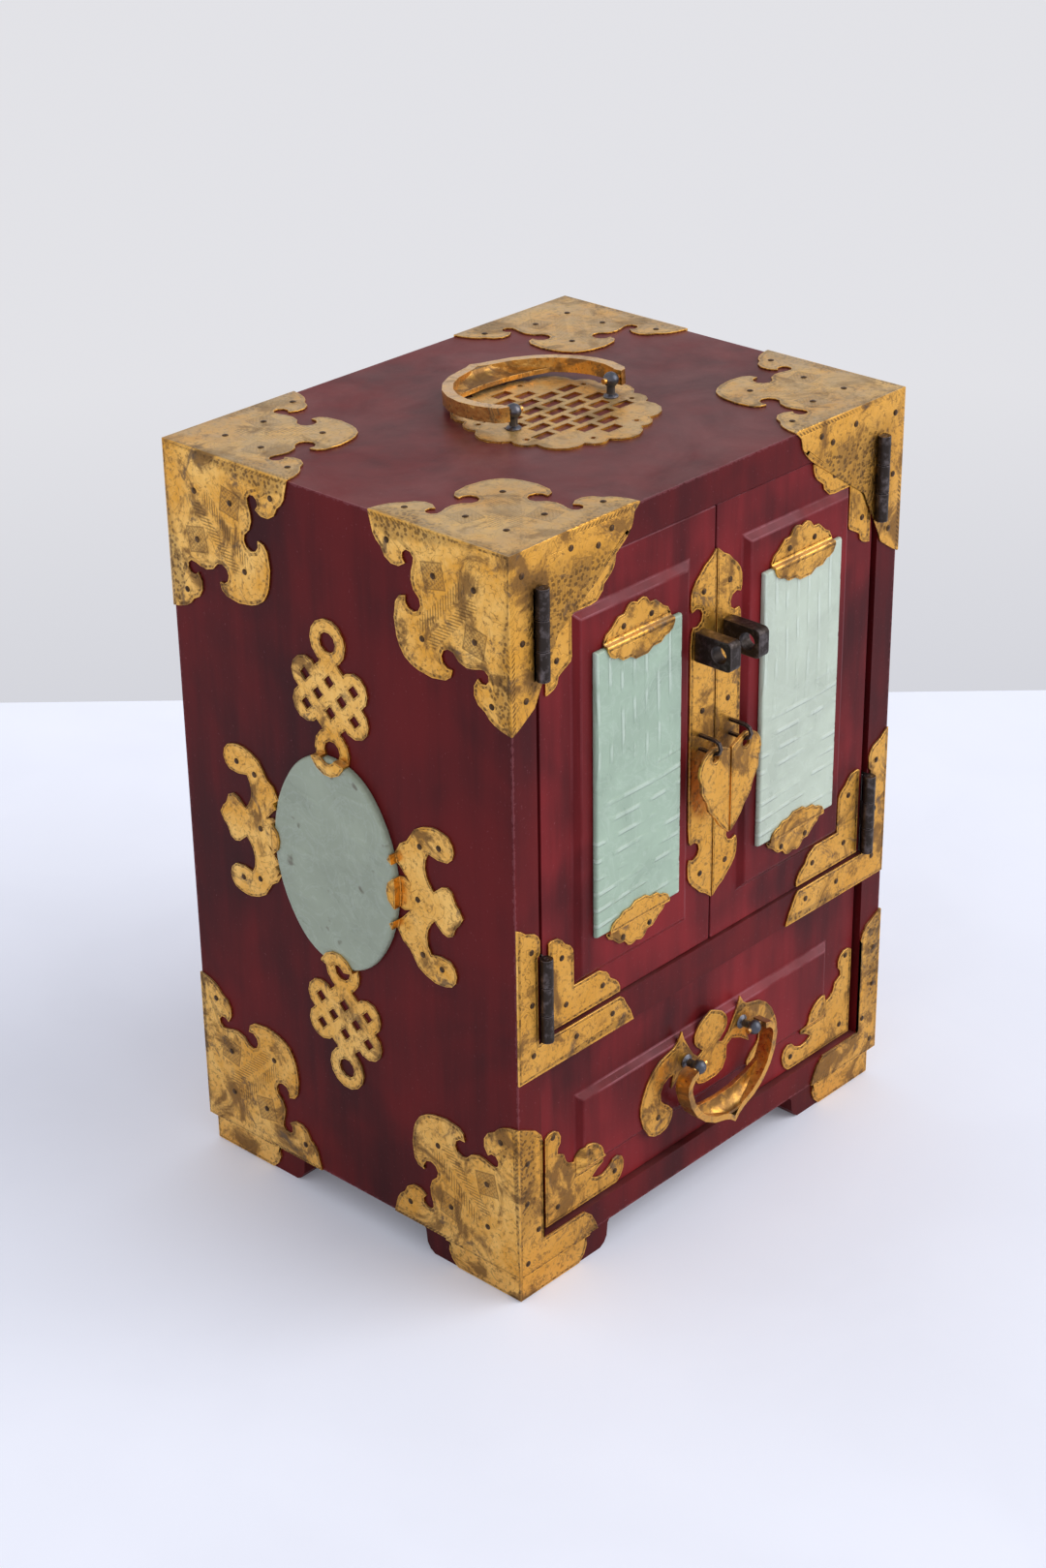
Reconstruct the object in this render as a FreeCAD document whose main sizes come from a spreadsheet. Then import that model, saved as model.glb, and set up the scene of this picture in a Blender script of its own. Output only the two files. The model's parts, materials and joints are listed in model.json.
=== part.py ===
import FreeCAD, Part
import math
import os
import re
import Sketcher

Vector = FreeCAD.Vector

# Every size that can be set by itself, in millimetres or degrees.
SIZES = {
    # the case and its boards
    "CaseWidth": 235.0,
    "CaseDepth": 184.7,
    "CaseHeight": 312.5,
    "SideThickness": 13.25,
    "TopThickness": 14.5,
    "BottomThickness": 12.3,
    "DividerThickness": 14.7,
    "BackThickness": 8.0,
    "BayHeight": 78.0,
    # bracket feet
    "FootHeight": 14.5,
    "FootInset": 2.5,
    "FootThickness": 12.0,
    "FootFlat": 51.0,
    "FootReach": 60.0,
    # doors
    "DoorThickness": 12.0,
    "DoorRecess": 0.8,
    "DoorClearance": 0.8,
    "SeamGap": 0.8,
    "SeamBevel": 1.2,
    "HingeBorder": 17.5,
    "SeamBorder": 15.8,
    "TopBorder": 17.5,
    "LowerBorder": 16.0,
    "PanelRise": 2.5,
    "PanelBevel": 3.0,
    # jade
    "JadeWidth": 50.0,
    "JadeEndGap": 17.95,
    "JadeThickness": 2.4,
    "JadeChamfer": 0.7,
    "OvalWidth": 69.0,
    "OvalHeight": 94.0,
    "OvalEndRadius": 28.0,
    "OvalThickness": 3.2,
    "OvalChamfer": 1.0,
    "OvalCenter": 155.4,
    "OrnamentShift": 3.3,
    # brass sheet
    "SheetThickness": 0.9,
    "ChordStray": 0.3,
    "LeafReach": 70.5,
    "FrontLeafReach": 68.0,
    "FootCoverReach": 41.0,
    "FloorMargin": 0.4,
    "EdgeMargin": 0.3,
    "KnotOffset": 72.9,
    "BatOffset": 31.0,
    "ClipLap": 9.0,
    "LowerClipScale": 0.92,
    # hinges
    "HingeGap": 2.6,
    "HingeProud": 2.6,
    "BarrelRadius": 2.7,
    "BarrelLength": 37.0,
    "BarrelEndGap": 0.8,
    "KnuckleGap": 0.3,
    "PinRadius": 0.8,
    "PinClearance": 0.05,
    "HingeLeafThickness": 0.8,
    "HingeLeafDepth": 10.5,
    "HingeLeafLift": 0.3,
    # lock, staples and pulls
    "LockLowGap": 20.2,
    "LockHighGap": 17.7,
    "LockHalfWidth": 15.6,
    "LugReach": 18.4,
    "LugHeight": 12.5,
    "LugThickness": 6.1,
    "LugCorner": 2.5,
    "LugHoleRadius": 3.5,
    "LugRise": 39.5,
    "LeftLugGap": 7.2,
    "RightLugGap": 4.1,
    "PullOffset": 9.5,
    "PullDrop": 2.75,
    "PullProud": 8.0,
    "PullThickness": 1.5,
    "PullHoleRadius": 2.5,
    "PullSlack": 1.2,
    "PullSeamGap": 1.2,
    "StapleRadius": 3.0,
    "StapleThickness": 1.4,
    # carrying bail on the top
    "RosetteRadius": 37.8,
    "RosetteX": 4.4,
    "RosetteY": -4.8,
    "CarryShiftX": 0.6,
    "CarryShiftY": -3.15,
    "CarryTurn": 5.0,
    "CarryPostSpacing": 53.0,
    "CarryPostHeight": 8.3,
    "CarryRadius": 35.8,
    "CarryDrop": 15.4,
    "CarryCurl": 3.1,
    "CarryCusp": 2.5,
    "CarryWidth": 6.2,
    "CarryThickness": 4.6,
    "CarryTilt": 4.2,
    # drawer bail
    "DrawerHandleShift": 1.9,
    "DrawerHandleTurn": 4.2,
    "DrawerPostSpacing": 36.3,
    "DrawerPostHeight": 43.8,
    "DrawerBailProud": 8.0,
    "DrawerBailRadius": 28.3,
    "DrawerBailDrop": 3.5,
    "DrawerBailCurl": 6.0,
    "DrawerBailCusp": 3.8,
    "DrawerBailWidth": 7.0,
    "DrawerBailThickness": 2.8,
    # both bails and their posts
    "PinEndGap": 1.0,
    "WebThickness": 2.0,
    "WebHalfAngle": 58.0,
    "TrunnionRadius": 1.2,
    "TrunnionClearance": 0.06,
    "PostHeadRadius": 3.3,
    "PostStemRadius": 1.8,
    "PostFootRadius": 3.0,
    "PostFootHeight": 1.0,
    # main drawer
    "DrawerRecess": 2.3,
    "DrawerSideGap": 2.05,
    "DrawerFootGap": 0.9,
    "DrawerHeadGap": 0.8,
    "DrawerFrontThickness": 12.0,
    "DrawerPanelBorder": 20.2,
    "DrawerPanelLow": 17.3,
    "DrawerPanelHigh": 21.2,
    "DrawerBoardThickness": 8.0,
    "DrawerBottomThickness": 4.0,
    "DrawerBoxHeight": 58.0,
    "DrawerBoxInset": 0.5,
    "DrawerRunGap": 0.3,
    "DrawerBackGap": 3.0,
    # small drawers behind the doors
    "ShelfThickness": 6.0,
    "InnerSetback": 25.0,
    "InnerGap": 0.6,
    "InnerFrontThickness": 9.0,
    "InnerBoardThickness": 5.0,
    "InnerBottomThickness": 3.0,
    "InnerRimDrop": 8.0,
    "InnerBackGap": 2.0,
    "KnobRadius": 3.5,
    "KnobReach": 10.0,
}
INNER_DRAWERS = 3
KNUCKLES = 3
HINGE_SIDES = 12
TURNED_SIDES = 8
ROSETTE_LOBES = 8
OVERLAP = 0.2

# Places worked out from the sizes.
CASE_Y = "((LugReach - SheetThickness) / 2)"
FRONT = f"({CASE_Y} - CaseDepth / 2)"
BACK = f"({CASE_Y} + CaseDepth / 2)"
BASE = "FootHeight"
TOP = "(FootHeight + CaseHeight)"
BAY_FLOOR = "(FootHeight + BottomThickness)"
BAY_TOP = f"({BAY_FLOOR} + BayHeight)"
CUPBOARD_FLOOR = f"({BAY_TOP} + DividerThickness)"
CUPBOARD_TOP = f"({TOP} - TopThickness)"
HALF_WIDTH = "(CaseWidth / 2)"
HALF_OPENING = "(CaseWidth / 2 - SideThickness)"
DOOR_X = f"({HALF_OPENING} - HingeGap)"
DOOR_Y = f"({FRONT} + DoorRecess)"
DOOR_FLOOR = f"({CUPBOARD_FLOOR} + DoorClearance)"
DOOR_TOP = f"({CUPBOARD_TOP} - DoorClearance)"
DOOR_HEIGHT = f"({DOOR_TOP} - {DOOR_FLOOR})"
DOOR_WIDTH = f"({DOOR_X} - SeamGap / 2)"
PANEL_X = f"((HingeBorder + {DOOR_WIDTH} - SeamBorder) / 2 - {DOOR_X})"
PANEL_Y = f"({DOOR_Y} - PanelRise)"
PANEL_Z = f"(({DOOR_FLOOR} + LowerBorder + {DOOR_TOP} - TopBorder) / 2)"
JADE_HEIGHT = f"({DOOR_HEIGHT} - LowerBorder - TopBorder - 2 * JadeEndGap)"
LOCK_HEIGHT = f"({DOOR_HEIGHT} - LockLowGap - LockHighGap)"
LOCK_Z = f"({DOOR_FLOOR} + LockLowGap + {LOCK_HEIGHT} / 2)"
HINGE_X = f"({HALF_OPENING} - HingeGap / 2)"
HINGE_Y = f"({FRONT} - HingeProud)"
KNUCKLE = f"((BarrelLength - {KNUCKLES - 1} * KnuckleGap) / {KNUCKLES})"
PLATE_EDGE = "(SideThickness + HingeGap / 2 - BarrelRadius - EdgeMargin)"
DRAWER_HALF = f"({HALF_OPENING} - DrawerSideGap)"
DRAWER_Y = f"({FRONT} + DrawerRecess)"
DRAWER_FLOOR = f"({BAY_FLOOR} + DrawerFootGap)"
DRAWER_HEIGHT = f"({BAY_TOP} - DrawerHeadGap - {DRAWER_FLOOR})"
DRAWER_PANEL_Y = f"({DRAWER_Y} - PanelRise)"
ORNAMENT_Y = f"({CASE_Y} + OrnamentShift)"
ORNAMENT_Z = "(FootHeight + OvalCenter)"
INNER_PITCH = f"(({CUPBOARD_TOP} - {CUPBOARD_FLOOR} + ShelfThickness) / {INNER_DRAWERS})"
INNER_HALF = f"({HALF_OPENING} - InnerGap)"
INNER_Y = f"({FRONT} + InnerSetback)"
INNER_HEIGHT = f"({INNER_PITCH} - ShelfThickness - 2 * InnerGap)"

doc = FreeCAD.newDocument("jewelry_cabinet")
sizes = doc.addObject("Spreadsheet::Sheet", "Sizes")
for row, (name, size) in enumerate(SIZES.items(), start=1):
    sizes.set(f"A{row}", name)
    sizes.set(f"B{row}", str(size))
    sizes.setAlias(f"B{row}", name)
doc.recompute()

nodes = []
pockets = []


def full(expression):
    """The expression with each size written as its cell."""
    return re.sub(r"\b([A-Z]\w+)\b", r"Sizes.\1", expression)


def value(expression):
    """What an expression of the sizes comes to."""
    return float(sizes.evalExpression(full(expression)))


def bind(item, **expressions):
    """Tie properties of an object to the sheet."""
    for name, expression in expressions.items():
        item.setExpression(name, full(expression))


def place(item, x, y, z):
    """Tie an object's position to the sheet."""
    for axis, expression in zip("xyz", (x, y, z)):
        item.setExpression("Placement.Base." + axis, full(expression))


def turn(item, rotation):
    """Turn an object. It comes before its position is tied."""
    item.Placement = FreeCAD.Placement(Vector(), rotation)


def node(item):
    """Count an object among the cabinet's pieces."""
    nodes.append(item)
    return item


def box(label, size, corner):
    """A board with its lowest corner at the given place."""
    item = doc.addObject("Part::Box", label)
    bind(item, Length=size[0], Width=size[1], Height=size[2])
    place(item, *corner)
    return item


def group(label, items):
    """Like pieces, kept as separate solids under one name."""
    item = doc.addObject("Part::Compound", label)
    item.Links = items
    return item


def mirrored(label, source):
    """The same piece on the right-hand side of the cabinet."""
    item = doc.addObject("Part::Mirroring", label)
    item.Source = source
    item.Normal = Vector(1, 0, 0)
    return item


def both_sides(label, items):
    """Pieces of the left side and their mirror images, as one group."""
    left = group(label + "_left", items)
    return group(label, [left, mirrored(label + "_right", left)])


# Outlines are lists of (x, y) or (x, y, bulge). The bulge is the arc to the next point:
# the tangent of a quarter of its angle, above zero where it swells out of the shape.
def without_repeats(points):
    """The outline's points, each with a bulge, and none twice in a row."""
    kept = []
    for point in points:
        if not kept or math.dist(kept[-1][:2], point[:2]) > 1e-6:
            kept.append((point[0], point[1], point[2] if len(point) > 2 else 0.0))
    if math.dist(kept[0][:2], kept[-1][:2]) < 1e-6:
        kept.pop()
    return kept


def spans(points):
    """Each stretch of a closed outline. Its bulge is above zero where it swells to the right."""
    points = without_repeats(points)
    pairs = list(zip(points, points[1:] + points[:1]))
    turning = sum(p[0] * q[1] - q[0] * p[1] for p, q in pairs)
    way = 1 if turning >= 0 else -1
    return [(Vector(*p[:2], 0), Vector(*q[:2], 0), way * p[2]) for p, q in pairs]


def outline(points):
    """Lines and arcs round a closed outline."""
    edges = []
    for start, end, bulge in spans(points):
        if bulge:
            right = Vector(end.y - start.y, start.x - end.x, 0)
            edges.append(Part.Arc(start, (start + end) / 2 + right * (bulge / 2), end))
        else:
            edges.append(Part.LineSegment(start, end))
    return edges


def chords(points):
    """The outline with chords for its arcs, which keeps the many like pieces of sheet light."""
    stray = value("ChordStray")
    straight = []
    for start, end, bulge in spans(points):
        steps = 1
        if bulge:
            half = 2 * math.atan(bulge)
            radius = start.distanceToPoint(end) / 2 / abs(math.sin(half))
            steps = math.ceil(abs(half) / math.acos(max(1 - stray / radius, 0)))
        if steps > 1:
            left = Vector(start.y - end.y, end.x - start.x, 0)
            center = (start + end) / 2 + left / (2 * math.tan(half))
        straight.append((start.x, start.y))
        for step in range(1, steps):
            part_way = FreeCAD.Rotation(Vector(0, 0, 1), Radian=2 * half * step / steps)
            spot = center + part_way.multVec(start - center)
            straight.append((spot.x, spot.y))
    return straight


def disc(x, y, radius):
    """A full circle as an outline of two arcs."""
    return [(x + radius, y, 1), (x - radius, y, 1)]


def light(*outlines):
    """Closed outlines, such as an edge and its holes, for a sketch, with chords for arcs."""
    return [edge for points in outlines for edge in outline(chords(points))]


def with_reflection(half, reflect):
    """A half outline joined to its mirror image."""
    half = [(p[0], p[1], p[2] if len(p) > 2 else 0.0) for p in half]
    points = list(half)
    for index in range(len(half) - 1, -1, -1):
        x, y = reflect(half[index][0], half[index][1])
        points.append((x, y, half[index - 1][2] if index else 0.0))
    joint = len(half)
    if math.dist(points[joint - 1][:2], points[joint][:2]) < 1e-6:
        del points[joint - 1]
    return points


def scaled(points, across, up=None):
    """The outline stretched, or turned over where a factor is negative."""
    up = across if up is None else up
    return [(p[0] * across, p[1] * up) + tuple(p[2:]) for p in points]


def circle(x, y, radius):
    """A round hole or disc in a sketch."""
    return Part.Circle(Vector(x, y, 0), Vector(0, 0, 1), radius)


def new_body(label, x, y, z, rotation=None):
    """An empty body at a place tied to the sheet."""
    body = doc.addObject("PartDesign::Body", label)
    if rotation:
        turn(body, rotation)
    place(body, x, y, z)
    return body


def sketch(body, role, geometry, offset=None):
    """A sketch on one of the body's own planes, or at a distance in front of it."""
    profile = body.newObject("Sketcher::SketchObject", body.Name + "_sketch")
    plane = next(item for item in body.Origin.OriginFeatures if item.Role == role)
    profile.AttachmentSupport = [(plane, "")]
    profile.MapMode = "FlatFace"
    if offset:
        profile.setExpression("AttachmentOffset.Base.z", full(offset))
    profile.addGeometry(geometry, False)
    return profile


def polygon(body, role, corners):
    """A sketch of straight sides whose corners are tied to the sheet. No corner lies below zero."""
    spots = [Vector(value(x), value(y), 0) for x, y in corners]
    sides = [Part.LineSegment(p, q) for p, q in zip(spots, spots[1:] + spots[:1])]
    profile = sketch(body, role, sides)
    count = len(corners)
    for side, (x, y) in enumerate(corners):
        profile.addConstraint(Sketcher.Constraint("Coincident", side, 2, (side + 1) % count, 1))
        for kind, expression, axis in (("DistanceX", x, -2), ("DistanceY", y, -1)):
            if value(expression):
                distance = Sketcher.Constraint(kind, -1, 1, side, 1, value(expression))
                number = profile.addConstraint(distance)
                profile.setExpression(f"Constraints[{number}]", full(expression))
            else:
                profile.addConstraint(Sketcher.Constraint("PointOnObject", side, 1, axis))
    return profile


def pad(body, profile, length, away=False, midplane=False):
    """Thicken a sketch along its normal, or against it."""
    feature = body.newObject("PartDesign::Pad", body.Name + "_pad")
    feature.Profile = profile
    feature.Reversed = away
    feature.Midplane = midplane
    feature.setExpression("Length", full(length))
    body.Tip = feature
    return feature


def pocket(body, profile, away=False):
    """Cut a sketch right through the body, against the sketch's normal or along it."""
    feature = body.newObject("PartDesign::Pocket", body.Name + "_pocket")
    feature.Profile = profile
    feature.Type = "ThroughAll"
    feature.Reversed = away
    body.Tip = feature
    pockets.append(feature)
    return feature


def chamfer_face(body, feature, outward, size):
    """Chamfer the edges of the face that looks outward."""
    doc.recompute()
    faces = feature.Shape.Faces
    facing = [i for i, face in enumerate(faces) if face.normalAt(0, 0).dot(outward) > 0.999]
    number = max(facing, key=lambda i: faces[i].CenterOfMass.dot(outward)) + 1
    chamfer = body.newObject("PartDesign::Chamfer", body.Name + "_chamfer")
    chamfer.Base = (feature, [f"Face{number}"])
    chamfer.setExpression("Size", full(size))
    body.Tip = chamfer
    return chamfer


def plate(label, points, corner, holes=(), thickness="SheetThickness"):
    """A piece of sheet on a face that looks forward."""
    body = new_body(label, *corner)
    pad(body, sketch(body, "XZ_Plane", light(points, *holes)), thickness)
    return body


def mitred_board(label, length, start_mitre, end_mitre, thickness, corner, rotation):
    """A case board, its outer face down, with both ends mitred to meet their neighbours."""
    item = doc.addObject("Part::Wedge", label)
    turn(item, rotation)
    bind(item, Xmin="0", Xmax=length, X2min=start_mitre, X2max=f"{length} - {end_mitre}")
    bind(item, Ymin="0", Ymax=thickness, Zmin="0", Z2min="0", Zmax="CaseDepth", Z2max="CaseDepth")
    place(item, *corner)
    return node(item)


def case_boards():
    """The four mitred outer boards, the divider and the back let in between them."""
    about_x = Vector(1, 0, 0)
    mitred_board("bottom_board", "CaseWidth", "SideThickness", "SideThickness", "BottomThickness",
                 (f"-{HALF_WIDTH}", BACK, BASE), FreeCAD.Rotation(about_x, 90))
    mitred_board("top_board", "CaseWidth", "SideThickness", "SideThickness", "TopThickness",
                 (f"-{HALF_WIDTH}", FRONT, TOP), FreeCAD.Rotation(about_x, -90))
    upright = FreeCAD.Rotation(Vector(0, 0, 1), Vector(1, 0, 0), Vector(0, 1, 0), "XYZ")
    left = mitred_board("left_side_board", "CaseHeight", "BottomThickness", "TopThickness",
                        "SideThickness", (f"-{HALF_WIDTH}", FRONT, BASE), upright)
    node(mirrored("right_side_board", left))
    back_face = f"({BACK} - BackThickness)"
    node(box("back_panel", (f"2 * {HALF_OPENING}", "BackThickness", f"{CUPBOARD_TOP} - {BAY_FLOOR}"),
             (f"-{HALF_OPENING}", back_face, BAY_FLOOR)))
    node(box("divider_board", (f"2 * {HALF_OPENING}", f"{back_face} - {FRONT}", "DividerThickness"),
             (f"-{HALF_OPENING}", FRONT, BAY_TOP)))


def foot_bracket(label, role, fore):
    """One bracket of a left foot, its end mitred to its neighbour at the corner of the case."""
    body = new_body(label, f"-{HALF_WIDTH}", FRONT if fore > 0 else BACK, BASE)
    inset, drop, far = value("FootInset"), -value("FootHeight"), value("FootReach")
    flat, deep = value("FootFlat"), value("FootInset + FootThickness")
    middle = ((flat + far) / 2, drop / 2, -0.35)
    profile = [(inset, 0), (inset, drop), (flat, drop, 0.35), middle, (far, 0)]
    corner = [(inset, inset * fore), (deep, deep * fore)]
    if role == "XZ_Plane":
        face = sketch(body, role, light(profile), f"{-fore} * FootInset")
        pad(body, face, "FootThickness", fore > 0)
        corner.append((inset, deep * fore))
    else:
        face = sketch(body, role, light(scaled(profile, fore, 1)), "FootInset")
        pad(body, face, "FootThickness")
        corner.append((deep, inset * fore))
    pocket(body, sketch(body, "XY_Plane", outline(corner)))
    return body


def feet():
    """Four bracket feet, each of two mitred brackets."""
    for fore, end in ((1, "front"), (-1, "back")):
        left = group(f"{end}_left_foot", [foot_bracket(f"{end}_foot_face", "XZ_Plane", fore),
                                          foot_bracket(f"{end}_foot_side", "YZ_Plane", fore)])
        node(left)
        node(mirrored(f"{end}_right_foot", left))


def swirl_leaf(a_edge, b_edge):
    """The leaf with hooked notches that a corner mount lays on a plain face, drawn from the corner."""
    half = [
        (70.5, 0, 0.08), (68.3, 8, 0.15), (64.3, 12.5, 0.6), (51.8, 16, -2.5), (47.8, 14.8, 0.1),
        (49.2, 21.5, 0.25), (45, 28.2, -1.6), (52.3, 28.8, 0.35), (57.6, 32.5, 0.15), (57.6, 46.5, 0.12),
        (54.2, 53.4, 0.0),
    ]
    size = value("LeafReach") / half[0][0]
    reach = value("LeafReach")
    body = scaled(with_reflection(half, lambda x, y: (y, x)), size)
    return [(reach, b_edge)] + body + [(a_edge, reach), (a_edge, b_edge)]


def rail_leaf(a_edge):
    """The leaf of an upper front mount: along the rail over the doors and down the stile."""
    reach, low = value("FrontLeafReach"), value("LeafReach")
    rail, stile = value("TopThickness"), value(PLATE_EDGE)
    wide = value("SideThickness - EdgeMargin")
    free = value("TopThickness + BarrelEndGap + BarrelLength") + 1
    return [
        (a_edge, 0), (reach, 0), (reach - 1.7, 7, 0.1), (reach - 5.7, 12, 0.15), (reach - 8.5, rail),
        (stile, rail), (stile, free, 0.5), (wide, free + 4), (wide, low - 10, 0.25), (wide - 3.5, low - 6),
        (3.5, low - 2, 0.1), (0, low), (a_edge, low),
    ]


def stile_leaf(a_edge):
    """The leaf of a lower front mount: up the stile and along the board under the drawer."""
    high = value("LeafReach")
    stile, rail = value("SideThickness - EdgeMargin"), value("BottomThickness - EdgeMargin")
    return [
        (a_edge, 0), (46, 0, 0.1), (44.5, 4, 0.1), (42, 8.5, 0.1), (38, rail), (stile, rail),
        (stile, high - 10.5, 0.1), (12.2, high - 8), (9, high - 4.5, 0.1), (4, high - 2), (0, high),
        (a_edge, high),
    ]


def foot_cover(body, fore):
    """The lower part of a mount, stepped in under the case and down over the foot."""
    thin, inset, reach = value("SheetThickness"), value("FootInset"), value("FootCoverReach")
    low = value("FloorMargin - FootHeight")
    ledge = [(-thin, -thin), (reach, -thin), (reach, inset), (inset, inset), (inset, reach), (-thin, reach)]
    pad(body, sketch(body, "XY_Plane", outline(scaled(ledge, 1, fore))), "SheetThickness", True)
    cover = [(0, 0), (reach, 0), (reach + 0.8, low / 2, 0.2), (reach - 4, low), (0, low)]
    front = [(x + (inset - thin if x == 0 else 0), *rest) for x, *rest in cover]
    side = [(x + (inset if x == 0 else 0), *rest) for x, *rest in cover]
    pad(body, sketch(body, "XZ_Plane", light(front), f"{-fore} * FootInset"), "SheetThickness", fore < 0)
    pad(body, sketch(body, "YZ_Plane", light(scaled(side, fore, 1)), "FootInset"), "SheetThickness", True)


def corner_mount(label, fore, up, fore_leaf):
    """A brass mount folded round a left-hand corner of the case, one leaf on each face."""
    thin = value("SheetThickness")
    body = new_body(label, f"-{HALF_WIDTH}", FRONT if fore > 0 else BACK, BASE if up > 0 else TOP)
    face = light(scaled(fore_leaf, 1, up))
    side = light(scaled(swirl_leaf(0, 0), fore, up))
    pad(body, sketch(body, "XZ_Plane", face), "SheetThickness", fore < 0)
    pad(body, sketch(body, "YZ_Plane", side), "SheetThickness", True)
    if up > 0:
        foot_cover(body, fore)
    else:
        lid = light(scaled(swirl_leaf(-thin, -thin), 1, fore))
        pad(body, sketch(body, "XY_Plane", lid), "SheetThickness")
    return body


def corner_mounts():
    """Eight mounts, one on each corner of the case."""
    thin = value("SheetThickness")
    leaves = {
        ("top", "front"): rail_leaf(-thin),
        ("top", "back"): swirl_leaf(-thin, 0),
        ("bottom", "front"): stile_leaf(-thin),
        ("bottom", "back"): swirl_leaf(-thin, 0),
    }
    for (level, end), leaf in leaves.items():
        mount = corner_mount(f"{level}_{end}_mount", 1 if end == "front" else -1,
                             1 if level == "bottom" else -1, leaf)
        node(both_sides(f"{level}_{end}_corner_mounts", [mount]))


def lower_case_plates():
    """L-shaped plates on the stiles and the divider, beside the lower hinges."""
    rail, stile = value("DividerThickness - EdgeMargin"), value(PLATE_EDGE)
    wide = value("SideThickness - EdgeMargin")
    free = value("DividerThickness + BarrelEndGap + BarrelLength") + 1
    points = [
        (0, 0.2), (68.2, 0.2, 0.1), (66, 5.7, 0.1), (63.5, 9.7), (62, 12.7, 0.1), (60, rail), (stile, rail),
        (stile, free, 0.4), (wide, free + 2), (wide, free + 7, 0.2), (10, free + 11), (5, free + 13, 0.1),
        (0, free + 16.5),
    ]
    left = plate("lower_case_plate", points, (f"-{HALF_WIDTH}", FRONT, BAY_TOP))
    node(both_sides("lower_case_plates", [left]))


def oval(grow):
    """A four-arc oval with the jade's size, or that much larger all round."""
    across, up = value("OvalWidth") / 2 + grow, value("OvalHeight") / 2 + grow
    end = value("OvalEndRadius") + grow
    side = (across ** 2 + (up - end) ** 2 - end ** 2) / (2 * (across - end))
    lean = math.atan2(up - end, side - across)
    x, y = end * math.cos(lean), up - end + end * math.sin(lean)
    end_bulge = math.tan((math.pi / 2 - lean) / 2)
    side_bulge = math.tan(lean / 2)
    return [(x, y, end_bulge), (-x, y, side_bulge), (-x, -y, end_bulge), (x, -y, side_bulge)]


def jade_oval(label, grow, thickness):
    """An oval slab on the left side of the case."""
    body = new_body(label, f"-{HALF_WIDTH}", ORNAMENT_Y, ORNAMENT_Z)
    pad(body, sketch(body, "YZ_Plane", outline(oval(grow))), thickness, True)
    return body


def lapped(label, low, high, reach, slab):
    """A sheet that lies flat and steps up over the edge of a raised slab."""
    raised = doc.addObject("Part::Common", label + "_raised")
    raised.Base, raised.Tool = high, reach
    whole = doc.addObject("Part::Fuse", label + "_whole")
    whole.Base, whole.Tool = low, raised
    item = doc.addObject("Part::Cut", label)
    item.Base, item.Tool = whole, slab
    return item


def diamond(x, y, reach):
    """A square window standing on its corner."""
    return [(x + reach, y), (x, y + reach), (x - reach, y), (x, y - reach)]


def knot(label, side, thickness):
    """An endless knot: an interlaced block with four loops and a ring at each end."""
    body = new_body(label, f"-{HALF_WIDTH}", ORNAMENT_Y, f"{ORNAMENT_Z} + {side} * KnotOffset")
    quarter = [(11, 0), (11, 9), (5.2, 14), (4.2, 17), (0, 17)]
    block = with_reflection(quarter, lambda x, y: (-x, y))
    block = with_reflection(block, lambda x, y: (x, -y))
    loops = [(13.4, 6.4), (-13.4, 6.4)]
    rings = [(0, 23.3), (0, -23.3)]
    pad(body, sketch(body, "YZ_Plane", outline(block)), thickness, True)
    upper = [disc(x, y, 7.6) for x, y in loops] + [disc(x, y, 9.7) for x, y in rings]
    pad(body, sketch(body, "YZ_Plane", light(*upper)), thickness, True)
    lower = [disc(x, -y, 7.6) for x, y in loops]
    pad(body, sketch(body, "YZ_Plane", light(*lower)), thickness, True)
    gaps = [(x, up * y) for x, y in loops for up in (1, -1)] + [(0, 6.7), (0, -6.7), (6.6, 0), (-6.6, 0)]
    holes = [disc(x, y, 4.4) for x, y in rings] + [diamond(x, y, 2.9) for x, y in gaps]
    pocket(body, sketch(body, "YZ_Plane", light(*holes)))
    return body


def side_bat(label, fore, thickness):
    """A bat with spread wings, its head towards the jade."""
    half = [
        (-0.5, 0, 0.3), (3.2, 6.6, 0.3), (9.6, 6.2, 0.0), (4.5, 11.6, 0.1), (0.5, 14.3), (5, 21.8, 0.1),
        (8.5, 24), (13, 30.6, 0.12), (22, 34.4, 0.1), (28, 34, 0.75), (30.5, 21.9, 0.15), (20.3, 22.4, -0.25),
        (18.8, 12, -0.1), (22.5, 6.4, -0.05), (27, 10.2, 0.6), (33.4, 7, -0.2), (36, 3.6), (38, 0),
    ]
    body = new_body(label, f"-{HALF_WIDTH}", f"{ORNAMENT_Y} - {fore} * BatOffset", ORNAMENT_Z)
    points = scaled(with_reflection(half, lambda x, y: (x, -y)), -fore, 1)
    pad(body, sketch(body, "YZ_Plane", light(points)), thickness, True)
    return body


def side_ornaments():
    """A jade oval on each side, held by two knots and two bats that lap over its edge."""
    jade = jade_oval("left_side_jade", 0, "OvalThickness")
    chamfer_face(jade, jade.Tip, Vector(-1, 0, 0), "OvalChamfer")
    node(jade)
    node(mirrored("right_side_jade", jade))
    high = "(OvalThickness + SheetThickness)"
    reach = jade_oval("jade_lap", value("SheetThickness"), high)
    slab = jade_oval("jade_blank", 0, "OvalThickness")
    knots = [lapped(f"side_knot_{spot}", knot(f"knot_{spot}_low", side, "SheetThickness"),
                    knot(f"knot_{spot}_high", side, high), reach, slab)
             for spot, side in (("upper", 1), ("lower", -1))]
    bats = [lapped(f"side_bat_{spot}", side_bat(f"bat_{spot}_low", fore, "SheetThickness"),
                   side_bat(f"bat_{spot}_high", fore, high), reach, slab)
            for spot, fore in (("front", 1), ("back", -1))]
    node(both_sides("side_knots", knots))
    node(both_sides("side_bats", bats))


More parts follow.
